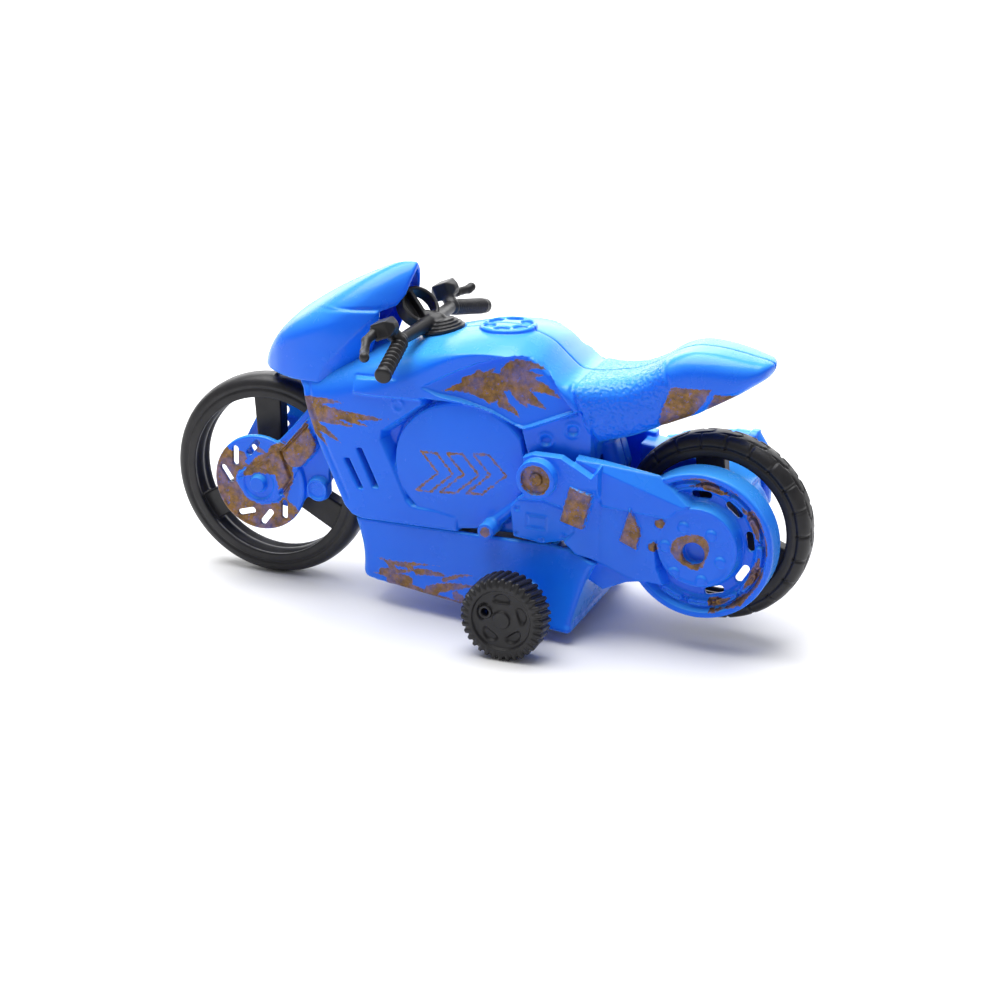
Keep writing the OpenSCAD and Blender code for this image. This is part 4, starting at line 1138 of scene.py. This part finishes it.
def arm_height(x, z):
    """Outer face of the left swing arm with its chain case."""
    away = disc(x, z, CASE, 0)
    angle = np.arctan2(z - CASE[1], x - CASE[0])
    # chain case: rim, then a dished floor with the chain
    w = mix(CASE_Y, CASE_FLOOR, within(away - CASE_R + CASE_RIM, 0.6))
    w = w + 0.2 * ridge(away - CASE_R + 0.5, 0.4)
    turn = angle * CHAIN_LINKS / (2 * math.pi) + 0.3
    phase = np.abs(turn - np.round(turn)) * 2 * math.pi * CHAIN_R / CHAIN_LINKS
    link = np.hypot(np.maximum(phase - 1.5, 0), away - CHAIN_R) - 0.62
    joint = np.hypot(phase - math.pi * CHAIN_R / CHAIN_LINKS, away - CHAIN_R) - 0.35
    w = w + 1.0 * within(link, 0.3) - 0.35 * within(link + 0.4, 0.3) + 0.6 * within(joint, 0.3)
    w = w - 0.35 * within(np.abs(away - 8.9) - 0.9, 0.3)
    # hub plate with studs
    hub = disc(x, z, CASE, HUB_R)
    w = mix(w, HUB_Y, within(hub, 0.5))
    w = w + 0.2 * ridge(hub + 0.5, 0.35)
    for k in range(6):
        stud = disc(x, z, ring_place(HUB_HOLE, 5.1, math.radians(10 + 60 * k)), 0.95)
        w = w + 0.4 * within(stud, 0.5) * within(hub + 0.6, 0.4)
    # beam, which thins out towards the hub
    beam = polygon(x, z, ARM_BEAM)
    beam_y = ARM_Y - 0.02 * np.clip(-27 - x, 0, 20) - 0.6 * np.clip(above_line(x, z, BEAM_CREASE), 0, 3.2)
    beam_y = beam_y - 0.5 * within(above_line(x, z, BEAM_PANEL), 0.4)
    w = mix(w, beam_y, within(beam, 0.45))
    # plate round the pivot, whose lower part slopes down to the beam
    plate = polygon(x, z, ARM_PLATE)
    slope = np.clip((-20.5 - x) / 6, 0, 1) * within(z - 28, 4)
    w = mix(w, PLATE_Y - (PLATE_Y - ARM_Y + 0.5) * slope, within(plate, 0.4))
    cover = polygon(x, z, GEAR_COVER)
    w = mix(w, PLATE_Y - 0.5, within(cover, 0.4))
    w = w - 0.25 * ridge(cover, 0.25)
    for spot in COVER_DIMPLES:
        w = w - 0.35 * within(disc(x, z, spot, 0.45), 0.5)
    w = w - 0.2 * ridge(polygon(x, z, COVER_FRAME), 0.22)
    w = mix(w, PLATE_Y + 0.4, within(polygon(x, z, ARM_PATCH), 0.4))
    w = w + 0.8 * within(polygon(x, z, ARM_PATCH_REAR), 0.4)
    for spot in BEAM_DOTS:
        w = w + 0.3 * within(disc(x, z, spot, 0.9), 0.6)
    return w


def pivot_field(x, y, z):
    """Boss round the pivot with a sunk face and a pin head."""
    boss = both(cylinder(x, y, z, PIVOT, 3.6, PLATE_IN, 16.1), y - 16.05, 0.5)
    boss = cut(boss, cylinder(x, y, z, PIVOT, 2.65, 15.1, 18), 0.3)
    return join(boss, both(cylinder(x, y, z, PIVOT, 1.15, 14, 15.8), y - 15.75, 0.4), 0.15)


def left_arm_skin():
    """Skin of the left swing arm with its chain case."""
    grid = Grid((CASE[0] - CASE_R - 0.5, 3.8, CASE[1] - CASE_R - 0.5), (-9.4, 16.6, 36.0), 0.18)
    x, y, z = grid.x, grid.y, grid.z
    w = arm_height(x, z)
    face = from_surface(y, w, grid.step)
    away = disc(x, z, CASE, 0)
    # the case is a thin dish with a rim that reaches inwards
    back = mix(CASE_IN, CASE_FLOOR - 1.2, within(away - CASE_R + CASE_RIM, 0.3))
    case = both(away - CASE_R, back - y, 0.5)
    case = join(case, both(disc(x, z, REAR, 3.0), CASE_IN - y, 0.2), 0.2)
    beam = both(polygon(x, z, ARM_BEAM), 9.85 - y, 0.3)
    gusset = both(np.maximum(polygon(x, z, ARM_GUSSET), y - 11.2), 9.0 - y, 0.3)
    plate = both(polygon(x, z, ARM_PLATE), PLATE_IN - y, 0.3)
    arm = join(join(case, beam, 0.2), join(plate, gusset, 0.2), 0.2)
    arm = both(arm, face, 0.45)
    arm = join(arm, pivot_field(x, y, z), 0.3)
    arm = join(arm, cylinder(x, y, z, REAR, 2.3, 4.05, 8), 0.2)
    arm = cut(arm, cylinder(x, y, z, HUB_HOLE, 2.1, 9.2, 20), 0.3)
    arm = cut(arm, cylinder(x, y, z, REAR, AXLE_R, 0, 8.8), 0.05)
    for angle in WINDOWS:
        middle = ring_place(CASE, WINDOW_R, angle)
        arm = cut(arm, slot(x, z, middle, angle + math.pi / 2, 1.15, 0.68), 0.2)
    return skin(grid, arm)


def build_left_arm():
    """Left swing arm with its print and rubbed links."""
    surface = left_arm_skin()
    x, y, z = surface[0].T
    away = disc(x, z, CASE, 0)
    angle = np.arctan2(z - CASE[1], x - CASE[0])
    degrees = np.degrees(angle)
    # print on the rim's inner lip and rubbed off the links, only where the beam does not cover them
    lip = np.abs(away - CASE_R + CASE_RIM - 0.1) - 0.25 - 0.3 * np.sin(angle * 9) * np.sin(angle * 4 + 1)
    links = np.abs(away - CHAIN_R) - 0.35 - 0.5 * np.sin(angle * 7 + 2)
    chain = np.where((degrees > 75) | (degrees < -100), np.minimum(lip, links), FAR)
    hole_x, hole_z = x - HUB_HOLE[0], z - HUB_HOLE[1]
    hole_away = np.hypot(hole_x, hole_z)
    hole_angle = np.arctan2(hole_z, hole_x)
    splash = hole_away - 3.3 - 0.7 * np.sin(hole_angle + 0.6) - 0.35 * np.sin(hole_angle * 3 + 1)
    patch = np.minimum(polygon(x, z, ARM_PATCH), polygon(x, z, ARM_PATCH_REAR))
    patch = np.minimum(patch, np.maximum(splash, 2.0 - hole_away))
    for spot in BEAM_DOTS:
        patch = np.minimum(patch, disc(x, z, spot, 0.9))
    patch = np.maximum(patch, 10.6 - y)
    boss = np.maximum(disc(x, z, PIVOT, 2.75), 14.9 - y)
    marks = {"print": np.minimum(np.minimum(np.maximum(chain, 8.6 - y), patch), boss)}
    add_piece("left_arm", "left_swing_arm", surface, marks)


RIGHT_STRAP = [(-22, 34.2), (-30, 33.2), (-30, 16), (-22, 16.7)]
RIGHT_HOLLOW = [(-31, 28.5), (-40, 27), (-41, 18), (-31, 19)]
RIGHT_ARM = [
    (-28.4, 32.4), (-36.0, 31.6), (-45.0, 29.6), (-49.4, 27.0), (-50.2, 21.4), (-49.0, 16.8), (-45.0, 14.3),
    (-33.0, 15.4), (-28.4, 16.2),
]


def build_right_arm():
    """Open right swing arm, which has no chain case."""
    grid = Grid((-54, 3.8, 12.5), (-9.4, 16.6, 36.0), 0.2)
    x, y, z = grid.x, grid.y, grid.z
    plate = both(both(polygon(x, z, ARM_PLATE), PLATE_IN - y, 0.3), y - PLATE_Y, 0.5)
    beam = both(polygon(x, z, RIGHT_ARM), np.abs(y - 8.6) - 3.4, 0.6)
    link = both(polygon(x, z, RIGHT_STRAP), np.abs(y - 11.1) - 1.3, 0.4)
    hub = both(disc(x, z, REAR, 7.2), np.abs(y - 7.3) - 2.1, 0.5)
    arm = join(join(plate, beam, 0.3), join(link, hub, 0.3), 0.3)
    arm = cut(arm, both(polygon(x, z, RIGHT_HOLLOW), 11.4 - y, 0.3), 0.4)
    arm = join(arm, pivot_field(x, y, z), 0.3)
    arm = join(arm, cylinder(x, y, z, REAR, 2.4, 4.05, 10.5), 0.3)
    arm = cut(arm, cylinder(x, y, z, REAR, AXLE_R, 0, 8.8), 0.05)
    surface = flipped(skin(grid, arm))
    px, py, pz = surface[0].T
    boss = np.maximum(disc(px, pz, PIVOT, 2.75), 14.9 + py)
    add_piece("right_arm", "right_swing_arm", surface, {"print": boss})


SILENCER = [
    (-48.4, 34.2), (-50.4, 31.0), (-51.2, 26.0), (-51.0, 20.4), (-49.0, 18.8), (-31.0, 20.8), (-27.8, 25.5),
    (-30.5, 31.6), (-44.0, 34.4),
]
SILENCER_BANDS = [-33.5, -46.5]
SILENCER_Z = 28


def build_silencer():
    """Closed can with two bands and an open end."""
    low, high = box_mm("silencer")
    grid = Grid(low - 0.6, high + 0.6, 0.18)
    x, y, z = grid.x, grid.y, grid.z
    side = polygon(x, z, SILENCER)
    middle, half = (low[1] + high[1]) / 2, (high[1] - low[1]) / 2
    across = np.abs(y - middle)
    can = both(side + 0.35, across - half + 0.35, 2.2)
    for at in SILENCER_BANDS:
        band = np.abs(x + 0.15 * (z - SILENCER_Z) - at) - 0.7
        can = join(can, both(both(side, across - half, 2.2), band, 0.2), 0.15)
    hole = np.hypot(y - middle, z - SILENCER_Z) - 1.5
    can = cut(can, both(hole, x + 47.5, 0.2), 0.3)
    add_piece("silencer_can", "silencer", skin(grid, can))


# ---------- road wheels ----------
STUB_ANGLE = math.radians(94)
TREAD_BLOCKS = 22
SPOKES = 3
SPOKE_Y = 1.6
HUB_OUT = (3.4, 3.2)


def wheel_skin(centre, radius, first_spoke, treaded):
    """Skin of a road wheel. The rear one has a block tread, the front one a stub of moulding flash."""
    grid = Grid(
        (centre[0] - radius - 0.5, -TYRE_HALF - 0.3, centre[1] - radius - 0.5),
        (centre[0] + radius + 0.5, TYRE_HALF + 0.3, centre[1] + radius + 0.5), 0.17,
    )
    x, y, z = grid.x, grid.y, grid.z
    dx, dz = x - centre[0], z - centre[1]
    away = np.hypot(dx, dz)
    angle = np.arctan2(dz, dx)
    ay = np.abs(y)
    # crowned tread and a hollow rim with a rib along its middle
    tread_r = radius - 0.05 - 0.3 * (ay / 2) ** 3
    tyre = both(away - np.maximum(tread_r, radius - 3.4), ay - TYRE_HALF + 0.02, 0.8)
    inner_r = radius - 4.2 + 0.5 * ridge(ay - 1.6, 0.7) - 0.15 * ridge(ay, 0.6)
    tyre = both(tyre, inner_r - away, 0.35)
    tyre = tyre + 0.25 * ridge(away - radius + 2.4, 0.25) * (ay > 2)
    if treaded:
        turn = angle * TREAD_BLOCKS / (2 * math.pi) + 0.22 * np.tanh((ay - 0.9) * 4) - 0.1
        gap = np.abs(turn - np.round(turn)) * 2 * math.pi * radius / TREAD_BLOCKS
        groove = 0.3 * within(gap - 0.25, 0.5) * within(0.35 - ay, 0.5)
        groove = np.maximum(groove, 0.25 * within(np.abs(ay - 1.1) - 0.2, 0.5) * within(gap - 1.5, 0.6))
        tyre = tyre + groove * (away > radius - 2.5)
    else:
        # the stub that the moulding left on the tread
        stub_x, stub_z = ring_place(centre, radius, STUB_ANGLE)
        tyre = join(tyre, capsule(x, y, z, (stub_x, -1.0, stub_z), (stub_x, 1.0, stub_z), 0.4), 0.3)
    wheel = tyre
    for k in range(SPOKES):
        a = math.radians(first_spoke + 360 / SPOKES * k)
        along = dx * math.cos(a) + dz * math.sin(a)
        aside = -dx * math.sin(a) + dz * math.cos(a)
        half = 2.3 + 0.03 * along
        spoke = both(np.abs(aside) - half, ay - SPOKE_Y, 0.35)
        spoke = both(spoke, np.abs(along - radius / 2 + 0.6) - radius / 2 + 2.2, 0.2)
        wheel = join(wheel, spoke, 0.45)
    wheel = join(wheel, both(away - HUB_OUT[0], ay - HUB_OUT[1], 0.4), 0.4)
    wheel = cut(wheel, away - AXLE_R - 0.05, 0.05)
    return skin(grid, wheel)


def build_wheels():
    """Front and rear wheel."""
    add_piece("front_tyre", "front_wheel", wheel_skin(FRONT, FRONT_R, 88, False))
    add_piece("rear_tyre", "rear_wheel", wheel_skin(REAR, REAR_R, 84, True))


# ---------- drive wheels ----------
TREAD_TEETH = 34
TOOTH_DEPTH = 0.55
FACE_SCOOPS = 5
SCOOP_AWAY = 3.95
PIN_HOLE = (3.0, 1.2)
PIN_HOLE_R = 0.72


def drive_wheel_skin():
    """Skin of the left drive wheel, with slanted teeth, a dished face and a small hole."""
    grid = Grid(
        (DRIVE[0] - DRIVE_R - 0.3, TRACK_IN - 0.3, DRIVE[1] - DRIVE_R - 0.3),
        (DRIVE[0] + DRIVE_R + 0.3, TRACK_Y + 0.3, DRIVE[1] + DRIVE_R + 0.3), 0.12,
    )
    x, y, z = grid.x, grid.y, grid.z
    dx, dz = x - DRIVE[0], z - DRIVE[1]
    away = np.hypot(dx, dz)
    angle = np.arctan2(dz, dx)
    tread_in = TRACK_IN + 1.4
    middle = (TRACK_Y + tread_in) / 2
    half = (TRACK_Y - tread_in) / 2
    # slanted teeth, cut deeper towards the outer shoulder
    turn = angle * TREAD_TEETH / (2 * math.pi) + (y - middle) * 0.16
    gap = np.abs(turn - np.round(turn)) * 2
    on_tooth = within((gap - 0.55) * 0.7, 0.35)
    outer = both(away - DRIVE_R + TOOTH_DEPTH - TOOTH_DEPTH * on_tooth, np.abs(y - middle) - half, 1.1)
    teeth_on_shoulder = 0.25 * on_tooth
    face_y = TRACK_Y - 0.1 - 0.55 * within(away - 5.5, 0.35)
    face_y = face_y - 0.35 * np.clip(away - 6.1, 0, 2) + teeth_on_shoulder * within(6.2 - away, 0.4)
    face_y = face_y + 0.5 * within(away - 1.6, 0.25)
    for k in range(FACE_SCOOPS):
        a = math.radians(18 + 360 / FACE_SCOOPS * k)
        along = dx * math.cos(a) + dz * math.sin(a)
        aside = -dx * math.sin(a) + dz * math.cos(a)
        lens = np.hypot((away - SCOOP_AWAY) / 0.8, aside / 1.5) - 1
        lens = np.where(along > 0, lens, 1)
        face_y = face_y - 0.5 * within(lens * 0.9, 0.5)
    spot = np.hypot(dx - PIN_HOLE[0], dz - PIN_HOLE[1])
    face_y = mix(face_y, TRACK_Y - 0.15, within(spot - 1.25, 0.25))
    wheel = both(outer, (y - face_y) * 0.9, 0.25)
    wheel = join(wheel, both(away - 2.4, np.abs(y - TRACK_IN - 1) - 1, 0.2), 0.2)
    wheel = cut(wheel, spot - PIN_HOLE_R, 0.2)
    wheel = cut(wheel, np.maximum(away - AXLE_R, y - TRACK_Y + 1.2), 0.05)
    return skin(grid, wheel)


def build_drive_wheels():
    """Both drive wheels from one skin."""
    surface = drive_wheel_skin()
    add_piece("left_roller", "left_drive_wheel", surface)
    add_piece("right_roller", "right_drive_wheel", flipped(surface))


build_belly()
build_cowl()
build_handlebar()
build_fork()
build_left_arm()
build_right_arm()
build_silencer()
build_wheels()
build_drive_wheels()


# ---------- the frame's own nodes ----------
def dress_nodes():
    """Every node takes the material of its slot in the record."""
    for name, node in nodes.items():
        node.data.materials.clear()
        node.data.materials.append(MATERIALS[SLOT_OF[name]])


dress_nodes()


# ---------- floor and light ----------
FLOOR_HALF = 6.0
WORLD_STRENGTH = 0.33
LIGHT_AIM = (0, 0, 0.03)


def add_stage():
    """Pale floor under the toy."""
    mesh = bpy.data.meshes.new("floor")
    corners = [(FLOOR_HALF * sx, FLOOR_HALF * sy, 0) for sx, sy in ((-1, -1), (1, -1), (1, 1), (-1, 1))]
    mesh.from_pydata(corners, [], [(0, 1, 2, 3)])
    mesh.materials.append(FLOOR)
    floor = bpy.data.objects.new("floor", mesh)
    bpy.context.scene.collection.objects.link(floor)


def add_light(name, place, size, power):
    """A rectangular light that faces LIGHT_AIM."""
    data = bpy.data.lights.new(name, "AREA")
    data.shape = "RECTANGLE"
    data.size, data.size_y = size
    data.energy = power
    light = bpy.data.objects.new(name, data)
    light.location = place
    light.rotation_mode = "QUATERNION"
    light.rotation_quaternion = (Vector(LIGHT_AIM) - Vector(place)).to_track_quat("-Z", "Y")
    bpy.context.scene.collection.objects.link(light)


def add_lights():
    """White surroundings, a large light above and a bright sheet behind the toy."""
    world = bpy.data.worlds.new("world")
    world.use_nodes = True
    background = world.node_tree.nodes["Background"]
    background.inputs["Color"].default_value = (1, 1, 1, 1)
    background.inputs["Strength"].default_value = WORLD_STRENGTH
    bpy.context.scene.world = world
    add_light("top", (0.12, -0.08, 0.8), (0.9, 0.8), 13.8)
    # the tops of the tank and the tail mirror this sheet
    add_light("behind", (0.36, -0.93, 0.32), (1.8, 0.5), 8)


add_stage()
add_lights()
bpy.context.scene.view_settings.view_transform = "Standard"
